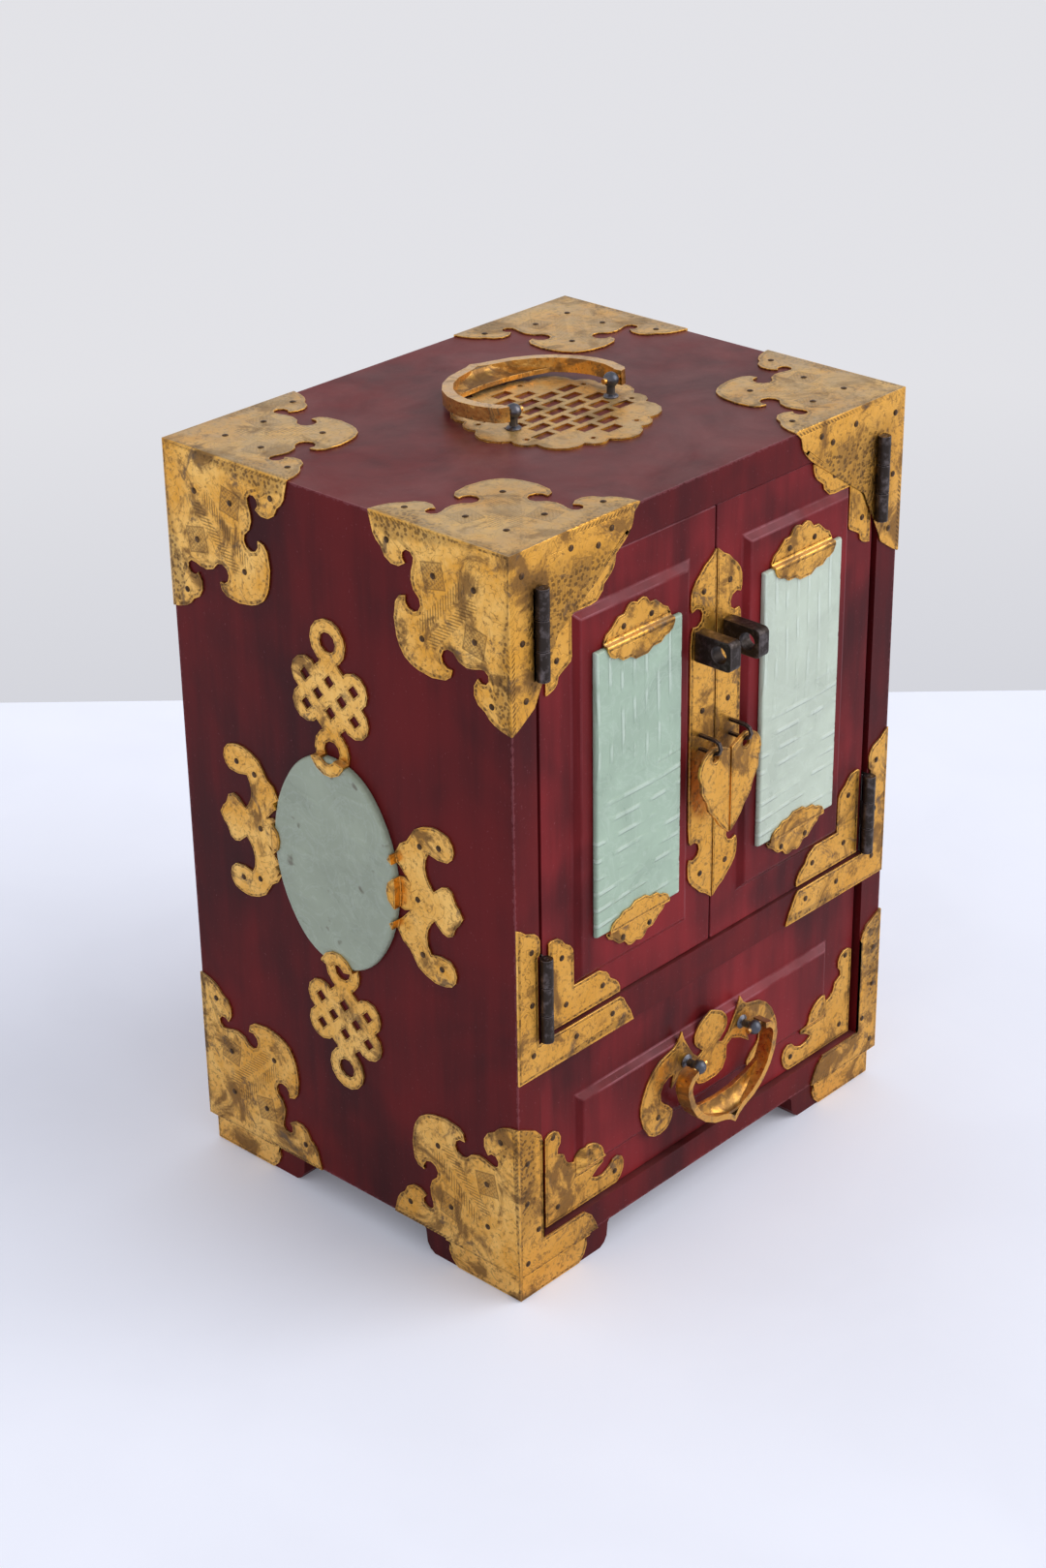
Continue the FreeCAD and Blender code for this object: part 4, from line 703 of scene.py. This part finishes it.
def jade(name, tint, node, on_door):
    """Cloudy jade with veins and carved relief, painted darker in the carving's low parts and paler on its
    ridges as painted shade and highlight: fronds on a door, clouds and brown spots on a side.
    """
    recipe = Recipe(name)
    stone = finish()
    low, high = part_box(node)
    place = recipe.add("VectorMath", {0: recipe.place, 1: (low + high) / 2}, operation="SUBTRACT").outputs[0]
    clouds = recipe.noise(38, 4, 0.6, 0.8)
    veins = recipe.unsigned(recipe.minus(recipe.noise(65, 5, 0.6, 1.6), 0.5))
    colour = recipe.mix(recipe.between(clouds, 0.35, 0.65), darker(tint, 0.84), tint)
    colour = recipe.mix(recipe.between(veins, 0.03, 0.0, 0, 0.12), colour, stone.jade_vein_and_highlight)
    if on_door:
        height = leaf_carving(recipe, place)
    else:
        height = cloud_carving(recipe)
        spots = recipe.between(recipe.noise(150, 2, 0.5), 0.68, 0.76, 0, 0.7)
        colour = recipe.mix(spots, colour, stone.jade_spot)
    # Painted shade in the carving's low parts, and a painted highlight on its ridges.
    colour = recipe.mix(recipe.between(height, 0.35, 0.1, 0, 0.18), colour, darker(tint, 0.6))
    colour = recipe.mix(recipe.between(height, 0.7, 1.0, 0, 0.3), colour, stone.jade_vein_and_highlight)
    if on_door:
        # Chips along the right edge, painted in the darkest lacquer as painted shade of the panel behind
        # them.
        chips = chipped_edge_in_shade(recipe, place, (high.x - low.x) / 2)
        colour = recipe.mix(recipe.times(chips, 0.85), colour, stone.lacquer_dark)
    recipe.set(Base_Color=colour, Roughness=recipe.between(clouds, 0.3, 0.7, 0.24, 0.38),
               Specular_IOR_Level=0.35, Subsurface_Weight=0.15, Subsurface_Radius=(1.0, 1.0, 1.0),
               Subsurface_Scale=1.2 * MM, Normal=recipe.bump(height, 0.5 * MM))
    return recipe.material


# Timber and jade pieces

BOARDS = ("_board", "_foot", "back_panel")
INNER_FRONTS = "_fronts"
BARE_BOARDS = ("_sides", "_backs", "_bottoms", "_shelves", "drawer_back", "drawer_bottom")


class CABINET_OT_timber(bpy.types.Operator):
    """Lacquer the case, its feet, doors and drawer, and finish the wood inside"""

    bl_idname = "cabinet.timber"
    bl_label = "Timber"

    def execute(self, context):
        lacquer = red_lacquer("red_lacquer", finish().lacquer_front, slope_wear_and_highlight)
        case = red_lacquer("red_lacquer_case", finish().lacquer_red, case_wear, dusty=True)
        worn = red_lacquer("red_lacquer_worn_highlit", finish().lacquer_front, bevel_wear_and_highlight)
        wood = plain_wood("plain_wood")
        for node in ("left_door_panel", "right_door_panel", "drawer_front"):
            piece = copy_of(node, node + "_lacquered")
            piece.data.materials.append(lacquer)
            piece.data.materials.append(worn)
            soften(piece, sizes().timber_edge, segments=3, angle=25, harden_normals=True, material=1)
            stand_in(piece, "lacquered_wood", node)
        for node, item in frame["nodes"].items():
            if node.endswith(BOARDS):
                coat(item, case)
            elif node.endswith(INNER_FRONTS):
                coat(item, lacquer)
            elif node.endswith(BARE_BOARDS):
                coat(item, wood)
        return {"FINISHED"}


class CABINET_OT_jade(bpy.types.Operator):
    """Polish the jade slabs and ovals"""

    bl_idname = "cabinet.jade"
    bl_label = "Jade"

    def execute(self, context):
        stones = {
            "left_door_jade": (finish().left_jade, "jade_pale"),
            "right_door_jade": (finish().right_jade, "jade_pale"),
            "left_side_jade": (finish().oval_jade, "jade_grey"),
            "right_side_jade": (finish().oval_jade, "jade_grey"),
        }
        for node, (tint, slot) in stones.items():
            piece = copy_of(node, node + "_polished")
            soften(piece, sizes().jade_edge, angle=20)
            shade(piece)
            settle(piece, jade(f"{node}_stone", tint, node, "door" in node), slot, node)
        return {"FINISHED"}


# Brass sheet

MOUNTS = {
    "top_front_corner_mounts": (LEFT, RIGHT, FORWARD, UP),
    "top_back_corner_mounts": (LEFT, RIGHT, BACKWARD, UP),
    "bottom_front_corner_mounts": (LEFT, RIGHT, FORWARD),
    "bottom_back_corner_mounts": (LEFT, RIGHT, BACKWARD),
}
FRONT_PLATES = ("lower_case_plates", "left_door_hinge_plates", "right_door_hinge_plates", "left_lock_plate",
                "right_lock_plate", "drawer_corner_plates", "drawer_bat_plate")
ORNAMENTS = {
    "side_knots": (LEFT, RIGHT),
    "side_bats": (LEFT, RIGHT),
    "rosette_plate": (UP,),
    "left_door_clips": (FORWARD,),
    "right_door_clips": (FORWARD,),
    "left_pull": (FORWARD, BACKWARD),
    "right_pull": (FORWARD, BACKWARD),
}


def inset_border(piece, ways, width):
    """Mark a border along the outline of a sheet's outer faces, for the engraving to follow."""
    edit_only(piece, "FACE", lambda face: face.area > 2 * MM * MM
              and any(face.normal.dot(way) > 0.999 for way in ways))
    bpy.ops.mesh.quads_convert_to_tris(ngon_method="BEAUTY")
    bpy.ops.mesh.inset(thickness=width, depth=0, use_even_offset=False, use_boundary=True)
    object_mode()
    inner = {corner for face in piece.data.polygons if face.select for corner in face.vertices}
    border = piece.data.uv_layers.new(name="border")
    for loop in piece.data.loops:
        border.data[loop.index].uv = (0.0 if loop.vertex_index in inner else 1.0, 0.0)
    fold_back(piece, ways)


def turned_over(mesh, ways):
    """Faces of the outer skin that look the wrong way."""
    skins = [(way, max(face.center.dot(way) for face in mesh.polygons if face.normal.dot(way) > 0.999))
             for way in ways]
    return {face.index for face in mesh.polygons for way, level in skins
            if face.normal.dot(way) < -0.9 and face.center.dot(way) > level - 0.1 * MM}


def fold_back(piece, ways):
    """Close up the slivers that the border's inner edge turns over in tight corners."""
    for _ in range(4):
        over = turned_over(piece.data, ways)
        if not over:
            break
        edit_only(piece, "FACE", lambda face: face.index in over)
        bpy.ops.mesh.edge_collapse()
        object_mode()


def lay_out_leaves(piece):
    """A map on which each leaf of a corner mount lies with its corner at the origin."""
    mesh = piece.data
    leaf = mesh.uv_layers.new(name="leaf")
    for face in mesh.polygons:
        facing = max(X, Y, Z, key=lambda axis: abs(face.normal[axis]))
        for loop in face.loop_indices:
            x, y, z = mesh.vertices[mesh.loops[loop].vertex_index].co
            depth, rise = min(y - CASE_FRONT, CASE_BACK - y), min(z - CASE_BASE, CASE_TOP - z)
            spans = [HALF_WIDTH - abs(x), depth, rise]
            del spans[facing]
            leaf.data[loop].uv = spans


def let_in_back(piece):
    """Thin the sheet on the back of the case, so that its nails stay within the cabinet's depth."""
    edit_only(piece, "VERT", lambda corner: corner.co.y > CASE_BACK + 0.7 * SHEET)
    bpy.ops.transform.translate(value=(0, -sizes().back_sink, 0))
    object_mode()


def ease_fold(piece, jade_node):
    """Turn the sharp step of each clip, where it climbs onto the jade, into a gentle bend."""
    low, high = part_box(jade_node)

    def on_fold(edge):
        start, end = (piece.data.vertices[corner].co for corner in edge.vertices)
        along = end - start
        level = abs(along.x) > 3 * MM and abs(along.y) + abs(along.z) < 0.02 * MM
        near_end = min(abs(start.z - low.z), abs(start.z - high.z)) < 2 * MM
        return level and near_end and start.y < high.y - 0.5 * SHEET

    edit_only(piece, "EDGE", on_fold)
    bpy.ops.mesh.bevel(offset=sizes().fold_edge, segments=4, affect="EDGES", clamp_overlap=True)
    object_mode()


class CABINET_OT_corner_mounts(bpy.types.Operator):
    """Cut, soften and engrave the eight brass corner mounts"""

    bl_idname = "cabinet.corner_mounts"
    bl_label = "Corner Mounts"

    def execute(self, context):
        material = engraved_brass("engraved_brass_leaf", leaf=True)
        for node, ways in MOUNTS.items():
            piece = copy_of(node, node + "_engraved")
            soften(piece, sizes().sheet_edge)
            inset_border(piece, ways, sizes().border)
            lay_out_leaves(piece)
            let_in_back(piece)
            shade(piece)
            settle(piece, material, "brass", node)
        return {"FINISHED"}


class CABINET_OT_plates(bpy.types.Operator):
    """Soften and engrave the brass plates, clips, knots, bats and pulls"""

    bl_idname = "cabinet.plates"
    bl_label = "Plates and Ornaments"

    def execute(self, context):
        material = engraved_brass("engraved_brass_sheet")
        for node, ways in (dict.fromkeys(FRONT_PLATES, (FORWARD,)) | ORNAMENTS).items():
            piece = copy_of(node, node + "_engraved")
            if node.endswith("_clips"):
                ease_fold(piece, node.replace("_clips", "_jade"))
            soften(piece, sizes().sheet_edge)
            inset_border(piece, ways, sizes().border if node in FRONT_PLATES else sizes().fine_border)
            shade(piece)
            settle(piece, material, "brass", node)
        return {"FINISHED"}


# Nails. Their places are in millimetres: on a leaf from its corner, on a bat from the middle of the jade,
# and on the front from the left side and the base of the case, mirrored to the right.

LEAF_NAILS = ((61, 9), (9, 61), (37.5, 17), (17, 37.5), (17, 17), (44, 44))
UPPER_STILE_NAILS = ((5.5, 304), (5.5, 277.5), (7, 254), (54.5, 307.5), (32, 306.5), (47, 303))
LOWER_STILE_NAILS = ((4, 53), (3.5, 34), (10, 18.5), (3.5, 5))
CASE_PLATE_NAILS = ((8, 147.5), (8, 124), (8.5, 101), (33.5, 98.5), (55, 99))
HINGE_PLATE_NAILS = ((25.5, 286), (44, 288), (24.5, 264), (26, 137), (28.3, 115), (50, 114))
CLIP_NAIL_LEVELS = (267, 133)
CLIP_NAIL_SPREAD = 8
LOCK_NAIL_LEVELS = (264, 213, 140)
LOCK_NAIL_INSET = 8
BAT_NAILS = ((13.8, 0), (15.7, 24), (15.7, -24), (26, 26.8), (26, -26.8))
BAT_OFFSET = 31
DRAWER_CORNER_NAILS = ((21.5, 55.5), (24, 21), (59, 20.5))
DRAWER_BAT_NAIL_INSET, DRAWER_BAT_NAIL_LEVEL = 34, 35.5
SEAM = HALF_WIDTH / MM


def nail_head():
    """A low domed head, slightly flattened on top, standing on the origin."""
    bpy.ops.object.select_all(action="DESELECT")
    radius, height = sizes().nail_radius, sizes().nail_height
    bpy.ops.mesh.primitive_uv_sphere_add(segments=12, ring_count=8, radius=radius)
    head = bpy.context.object
    edit_mode("SELECT")
    bpy.ops.mesh.bisect(plane_co=(0, 0, 0), plane_no=(0, 0, 1), use_fill=True, clear_inner=True)
    bpy.ops.mesh.select_all(action="SELECT")
    bpy.ops.transform.resize(value=(1, 1, height / radius), center_override=(0, 0, 0))
    object_mode()
    bpy.ops.object.shade_smooth_by_angle(angle=math.radians(50))
    return head


def drive_nails(name, body, material, spots):
    """Nails at the given places, each looking the given way, as one piece."""
    head = nail_head()
    nails = []
    for spot, way in spots:
        nail = head.copy()
        nail.data = head.data.copy()
        bpy.context.scene.collection.objects.link(nail)
        nail.matrix_world = Matrix.Translation(spot) @ way.to_track_quat("Z", "Y").to_matrix().to_4x4()
        nails.append(nail)
    bpy.data.objects.remove(head)
    piece = join(nails, name)
    fixed_place(piece)
    settle(piece, material, "brass", body=body)


def front_spots(points, surface):
    """Nail places on a plane that faces forward."""
    for u, v in points:
        for side in (-1, 1):
            yield Vector((side * (HALF_WIDTH - u * MM), surface, CASE_BASE + v * MM)), FORWARD


def leaf_spots():
    """Nail places of the leaves on the sides, the top and the back."""
    for a, b in LEAF_NAILS:
        a, b = a * MM, b * MM
        for side, way in ((-1, LEFT), (1, RIGHT)):
            x = side * (HALF_WIDTH + SHEET)
            for y in (CASE_FRONT + a, CASE_BACK - a):
                for z in (CASE_TOP - b, CASE_BASE + b):
                    yield Vector((x, y, z)), way
            for y in (CASE_FRONT + b, CASE_BACK - b):
                yield Vector((side * (HALF_WIDTH - a), y, CASE_TOP + SHEET)), UP
            for z in (CASE_TOP - b, CASE_BASE + b):
                yield Vector((side * (HALF_WIDTH - a), CASE_BACK + SHEET - sizes().back_sink, z)), BACKWARD


def bat_spots():
    """Nail places of the bats beside the side ovals."""
    low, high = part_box("left_side_jade")
    centre = (low + high) / 2
    for p, q in BAT_NAILS:
        for side, way in ((-1, LEFT), (1, RIGHT)):
            for end in (-1, 1):
                y = centre.y + end * (BAT_OFFSET + p) * MM
                yield Vector((side * (HALF_WIDTH + SHEET), y, centre.z + q * MM)), way


def case_spots():
    """Nail places of all the brass on the case."""
    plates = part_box("lower_case_plates")[0].y
    yield from leaf_spots()
    yield from bat_spots()
    yield from front_spots(UPPER_STILE_NAILS + LOWER_STILE_NAILS + CASE_PLATE_NAILS, plates)


def door_spots():
    """Nail places of the brass on both doors."""
    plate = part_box("left_door_hinge_plates")[0].y
    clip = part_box("left_door_clips")[0].y + JADE_RISE
    low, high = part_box("left_door_jade")
    middle = SEAM + (low.x + high.x) / 2 / MM
    clips = [(middle + side * CLIP_NAIL_SPREAD, v) for side in (-1, 1) for v in CLIP_NAIL_LEVELS]
    yield from front_spots(HINGE_PLATE_NAILS, plate)
    yield from front_spots(clips, clip)
    yield from front_spots([(SEAM - LOCK_NAIL_INSET, v) for v in LOCK_NAIL_LEVELS], plate)


def drawer_spots():
    """Nail places of the brass on the drawer."""
    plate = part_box("drawer_bat_plate")[0].y
    yield from front_spots(DRAWER_CORNER_NAILS, plate + PANEL_RISE)
    yield from front_spots([(SEAM - DRAWER_BAT_NAIL_INSET, DRAWER_BAT_NAIL_LEVEL)], plate)


class CABINET_OT_nails(bpy.types.Operator):
    """Drive the small nails that hold the brass"""

    bl_idname = "cabinet.nails"
    bl_label = "Nails"

    def execute(self, context):
        material = nail_metal("nail_heads")
        drive_nails("case_nails", "case", material, case_spots())
        for side, door in ((-1, "left_door"), (1, "right_door")):
            own = [(spot, way) for spot, way in door_spots() if spot.x * side > 0]
            drive_nails(door + "_nails", door, material, own)
        drive_nails("drawer_nails", "drawer", material, drawer_spots())
        return {"FINISHED"}


# Posts and bails. Their sizes are in millimetres and their turns in degrees.

POSTS = {
    "handle_posts": {"middle": (5.0, 0.8, 327.9), "spacing": 53.0, "height": 7.4, "turn": (0, 0, -5.0)},
    "drawer_handle_posts": {"middle": (1.9, -84.7, 70.6), "spacing": 36.3, "height": 6.9,
                            "turn": (90, -4.2, 0)},
}
BAILS = {
    "carrying_handle": {
        "middle": (5.0, 0.8, 335.3), "turn": (-4.2, 0, -5.0), "arc": (15.4, 35.8), "lip": (-39.6, 80.0),
        "sweep": (80.5, 8.0), "web": -1.1, "rim": 2.9,
    },
    "drawer_handle": {
        "middle": (1.9, -91.6, 70.6), "turn": (-90, -4.2, 0), "arc": (3.5, 28.3), "lip": (-39.1, 62.4),
        "sweep": (62.8, 6.7), "web": 1.5, "rim": -3.3,
    },
}
BORE_RADIUS, BORE_LENGTH = 1.26 * MM, 12 * MM


def turned(degrees):
    """A turn about x, then y, then z."""
    about_x, about_y, about_z = (Matrix.Rotation(math.radians(angle), 4, axis)
                                 for angle, axis in zip(degrees, "XYZ"))
    return about_z @ about_y @ about_x


def stand(fitting):
    """Where a fitting stands and how it is turned."""
    return Matrix.Translation(Vector(fitting["middle"]) * MM) @ turned(fitting["turn"])


def turning(profile, segments=28):
    """A turned shape, drawn up level by level from a short cone."""
    bpy.ops.object.select_all(action="DESELECT")
    (radius, level), (second, height) = profile[:2]
    bpy.ops.mesh.primitive_cone_add(vertices=segments, radius1=radius * MM, radius2=second * MM,
                                    depth=(height - level) * MM, location=(0, 0, (level + height) / 2 * MM))
    piece = bpy.context.object
    fixed_place(piece)
    edit_only(piece, "FACE", lambda face: face.normal.z > 0.99)
    for (width, start), (following, end) in zip(profile[1:], profile[2:]):
        bpy.ops.mesh.extrude_region_move(TRANSFORM_OT_translate={"value": (0, 0, (end - start) * MM)})
        grow = following / width
        bpy.ops.transform.resize(value=(grow, grow, 1), center_override=(0, 0, end * MM))
    object_mode()
    bpy.ops.object.shade_smooth_by_angle(angle=math.radians(40))
    return piece


def post_profile(height):
    """Foot, neck and ball of a post, as radius and level."""
    angles = [math.radians(degrees) for degrees in range(-55, 86, 14)]
    ball = [(3.25 * math.cos(angle), height + 3.1 * math.sin(angle)) for angle in angles]
    return [(3.1, 0), (3.2, 0.5), (2.6, 1.1), (1.75, 1.5), (1.7, height - 3.1), *ball, (0.2, height + 3.15)]


def bored_post(height):
    """A post on the origin, with a hole along x through the middle of its ball."""
    post = turning(post_profile(height))
    bpy.ops.object.select_all(action="DESELECT")
    bpy.ops.mesh.primitive_cylinder_add(vertices=24, radius=BORE_RADIUS, depth=BORE_LENGTH,
                                        location=(0, 0, height * MM), rotation=(0, math.pi / 2, 0))
    cut_away(post, bpy.context.object)
    return post


def drum(centre, radius, low, high):
    """A cylinder that stands on a level, its middle on the bail's long axis."""
    bpy.ops.object.select_all(action="DESELECT")
    bpy.ops.mesh.primitive_cylinder_add(vertices=256, radius=radius * MM, depth=(high - low) * MM,
                                        location=(0, centre * MM, (low + high) / 2 * MM))
    piece = bpy.context.object
    fixed_place(piece)
    return piece


def hollow_ring(bail):
    """The ring whose sweep hollows out a bail, flattened to the depth from rim to web."""
    radius, reach = bail["sweep"]
    bpy.ops.object.select_all(action="DESELECT")
    bpy.ops.mesh.primitive_torus_add(major_segments=192, minor_segments=32, major_radius=radius * MM,
                                     minor_radius=reach * MM)
    ring = bpy.context.object
    edit_mode("SELECT")
    flatten = abs(bail["rim"] - bail["web"]) / reach
    bpy.ops.transform.resize(value=(1, 1, flatten), center_override=(0, 0, 0))
    object_mode()
    ring.location = (0, bail["lip"][0] * MM, bail["rim"] * MM)
    fixed_place(ring)
    return ring


def scoop(name, bail):
    """The hollow of a bail: a crescent between band and lip, swept out by a ring."""
    web, rim = bail["web"], bail["rim"]
    away = 1 if rim > web else -1
    low, high = sorted((web - 0.3 * away, rim))
    piece = drum(*bail["arc"], low, high)
    cut_away(piece, drum(*bail["lip"], low - 5, high + 5))
    cut_away(piece, hollow_ring(bail))
    activate(piece)
    bpy.ops.object.shade_smooth_by_angle(angle=math.radians(40))
    piece.name = name
    piece.matrix_world = stand(bail)
    fixed_place(piece)
    return piece


class CABINET_OT_posts(bpy.types.Operator):
    """Turn the steel posts that carry the two bails"""

    bl_idname = "cabinet.posts"
    bl_label = "Posts"

    def execute(self, context):
        material = dark_steel("post_steel", finish().post_steel, 0.28)
        for node, fitting in POSTS.items():
            post = bored_post(fitting["height"])
            pair = []
            for name, side in (("left", -1), ("right", 1)):
                across = Matrix.Translation((side * fitting["spacing"] / 2 * MM, 0, 0))
                pair.append(placed_copy(post, name, stand(fitting) @ across))
            bpy.data.objects.remove(post)
            settle(join(pair, node + "_turned"), material, "dark_steel", node)
        return {"FINISHED"}


class CABINET_OT_bails(bpy.types.Operator):
    """Round the two brass bails and hollow out their scoops"""

    bl_idname = "cabinet.bails"
    bl_label = "Bails"

    def execute(self, context):
        rim, hollow = cast_brass("cast_brass"), cast_brass("hollow_brass_and_shade", hollow=True)
        for node, bail in BAILS.items():
            piece = copy_of(node, node + "_cast")
            soften(piece, sizes().bail_edge, segments=3, angle=50)
            shade(piece)
            settle(piece, rim, "brass", node)
            settle(scoop(node + "_scoop", bail), hollow, "brass", body=body_of(node))
        return {"FINISHED"}


# Steel and knobs


class CABINET_OT_steel(bpy.types.Operator):
    """Round the lugs, staples and hinges and give them their steel"""

    bl_idname = "cabinet.steel"
    bl_label = "Lugs, Staples and Hinges"

    def execute(self, context):
        material = dark_steel("dark_steel", finish().steel, 0.42)
        lug, staple, hinge = ((sizes().lug_edge, 2), (sizes().staple_edge, 2), (sizes().hinge_edge, 1))
        rounding = {
            "left_lock_lug": lug,
            "right_lock_lug": lug,
            "left_pull_staple": staple,
            "right_pull_staple": staple,
            "case_hinge_leaves": hinge,
            "left_door_hinge_leaves": hinge,
            "right_door_hinge_leaves": hinge,
            "hinge_pins": hinge,
        }
        for node, (width, segments) in rounding.items():
            piece = copy_of(node, node + "_rounded")
            soften(piece, width, segments)
            shade(piece)
            settle(piece, material, "dark_steel", node)
        return {"FINISHED"}


class CABINET_OT_knobs(bpy.types.Operator):
    """Finish the knobs of the small drawers in brass"""

    bl_idname = "cabinet.knobs"
    bl_label = "Knobs"

    def execute(self, context):
        coat(frame["nodes"]["inner_drawer_knobs"], engraved_brass("knob_brass"))
        return {"FINISHED"}


# The stage

TABLE_WIDTH, TABLE_DEPTH = 8, 4
WALL_RISE = (-0.43, -0.33)
WALL_SHARE = 0.5


def table_cloth(name, stage):
    """Plain matt cloth, seen a little paler than the light on it makes it."""
    recipe = Recipe(name)
    weave = recipe.noise(9, 3, 0.5, 0.5)
    tone = recipe.mix(recipe.between(weave, 0.35, 0.65), darker(stage.table, 0.97), stage.table)
    recipe.set(Base_Color=tone, Roughness=0.95, Specular_IOR_Level=0.1, Emission_Color=tone,
               Emission_Strength=recipe.times(recipe.seen_directly(), stage.table_glow))
    return recipe.material


def lay_table(stage):
    """A wide table whose far edge lies straight across the camera's view."""
    bpy.ops.object.select_all(action="DESELECT")
    bpy.ops.mesh.primitive_plane_add(size=1)
    table = bpy.context.object
    table.name = table.data.name = "table"
    edit_mode("SELECT")
    bpy.ops.transform.resize(value=(TABLE_WIDTH, TABLE_DEPTH, 1), center_override=(0, 0, 0))
    bpy.ops.mesh.subdivide(number_cuts=20)
    object_mode()
    heading = stage.camera_turn[Z]
    away = Vector((-math.sin(heading), math.cos(heading), 0))
    middle = Matrix.Translation(away * (stage.table_reach - TABLE_DEPTH / 2))
    table.matrix_world = middle @ Matrix.Rotation(heading, 4, "Z")
    fixed_place(table)
    table.data.materials.append(table_cloth("table_cloth", stage))


def light_room(scene, stage):
    """A pale room: its plain wall as the camera sees it, painted darker just above the table's edge as
    painted shade, and even light all round.
    """
    scene.world = bpy.data.worlds.new("room")
    scene.world.use_nodes = True
    nodes = Nodes(scene.world.node_tree)
    height = nodes.split(nodes.add("TexCoord").outputs["Generated"])[Z]
    tone = nodes.mix(nodes.between(height, *WALL_RISE), stage.wall_low_shade, stage.wall)
    wall = nodes.add("Background", {"Color": tone})
    room = nodes.add("Background", {"Color": stage.room_tint, "Strength": stage.room_light})
    share = nodes.larger(nodes.seen_directly(), WALL_SHARE)
    choice = nodes.add("MixShader", {0: share, 1: room.outputs[0], 2: wall.outputs[0]})
    nodes.add("OutputWorld", {"Surface": choice.outputs[0]})


def let_in_daylight(scene, stage):
    """Soft daylight from the right."""
    daylight = bpy.data.lights.new("daylight", "SUN")
    daylight.energy = stage.daylight
    daylight.angle = stage.daylight_spread
    holder = bpy.data.objects.new("daylight", daylight)
    holder.rotation_euler = Vector(stage.daylight_from).to_track_quat("Z", "Y").to_euler()
    scene.collection.objects.link(holder)


def set_camera(scene, stage):
    """The camera where the photograph was taken."""
    camera = bpy.data.cameras.new("camera")
    camera.lens = stage.lens
    camera.sensor_width = 36
    holder = bpy.data.objects.new("camera", camera)
    holder.location = stage.camera_place
    holder.rotation_euler = stage.camera_turn
    scene.collection.objects.link(holder)
    scene.camera = holder
    scene.view_settings.view_transform = "Standard"


class CABINET_OT_stage(bpy.types.Operator):
    """Lay the table, light it and set the camera"""

    bl_idname = "cabinet.stage"
    bl_label = "Stage"

    def execute(self, context):
        stage = context.scene.cabinet_stage
        lay_table(stage)
        light_room(context.scene, stage)
        let_in_daylight(context.scene, stage)
        set_camera(context.scene, stage)
        return {"FINISHED"}


# The panel, and the whole cabinet

OPERATORS = (
    CABINET_OT_timber,
    CABINET_OT_jade,
    CABINET_OT_corner_mounts,
    CABINET_OT_plates,
    CABINET_OT_nails,
    CABINET_OT_posts,
    CABINET_OT_bails,
    CABINET_OT_steel,
    CABINET_OT_knobs,
    CABINET_OT_stage,
)


class CABINET_PT_panel(bpy.types.Panel):
    """Builds the cabinet's visible pieces, one group at a time"""

    bl_idname = "CABINET_PT_panel"
    bl_label = "Jewelry Cabinet"
    bl_space_type = "VIEW_3D"
    bl_region_type = "UI"
    bl_category = "Cabinet"

    def draw(self, context):
        for operator in OPERATORS:
            self.layout.operator(operator.bl_idname)


GROUPS = {"cabinet_finish": CabinetFinish, "cabinet_sizes": CabinetSizes, "cabinet_stage": CabinetStage}


def register():
    for item in (*GROUPS.values(), *OPERATORS, CABINET_PT_panel):
        bpy.utils.register_class(item)
    for name, group in GROUPS.items():
        setattr(bpy.types.Scene, name, PointerProperty(type=group))


def unregister():
    for name in GROUPS:
        delattr(bpy.types.Scene, name)
    for item in reversed((*GROUPS.values(), *OPERATORS, CABINET_PT_panel)):
        bpy.utils.unregister_class(item)


def main():
    """Build every piece in order."""
    register()
    for operator in OPERATORS:
        group, name = operator.bl_idname.split(".")
        getattr(getattr(bpy.ops, group), name)()


if __name__ == "__main__":
    main()
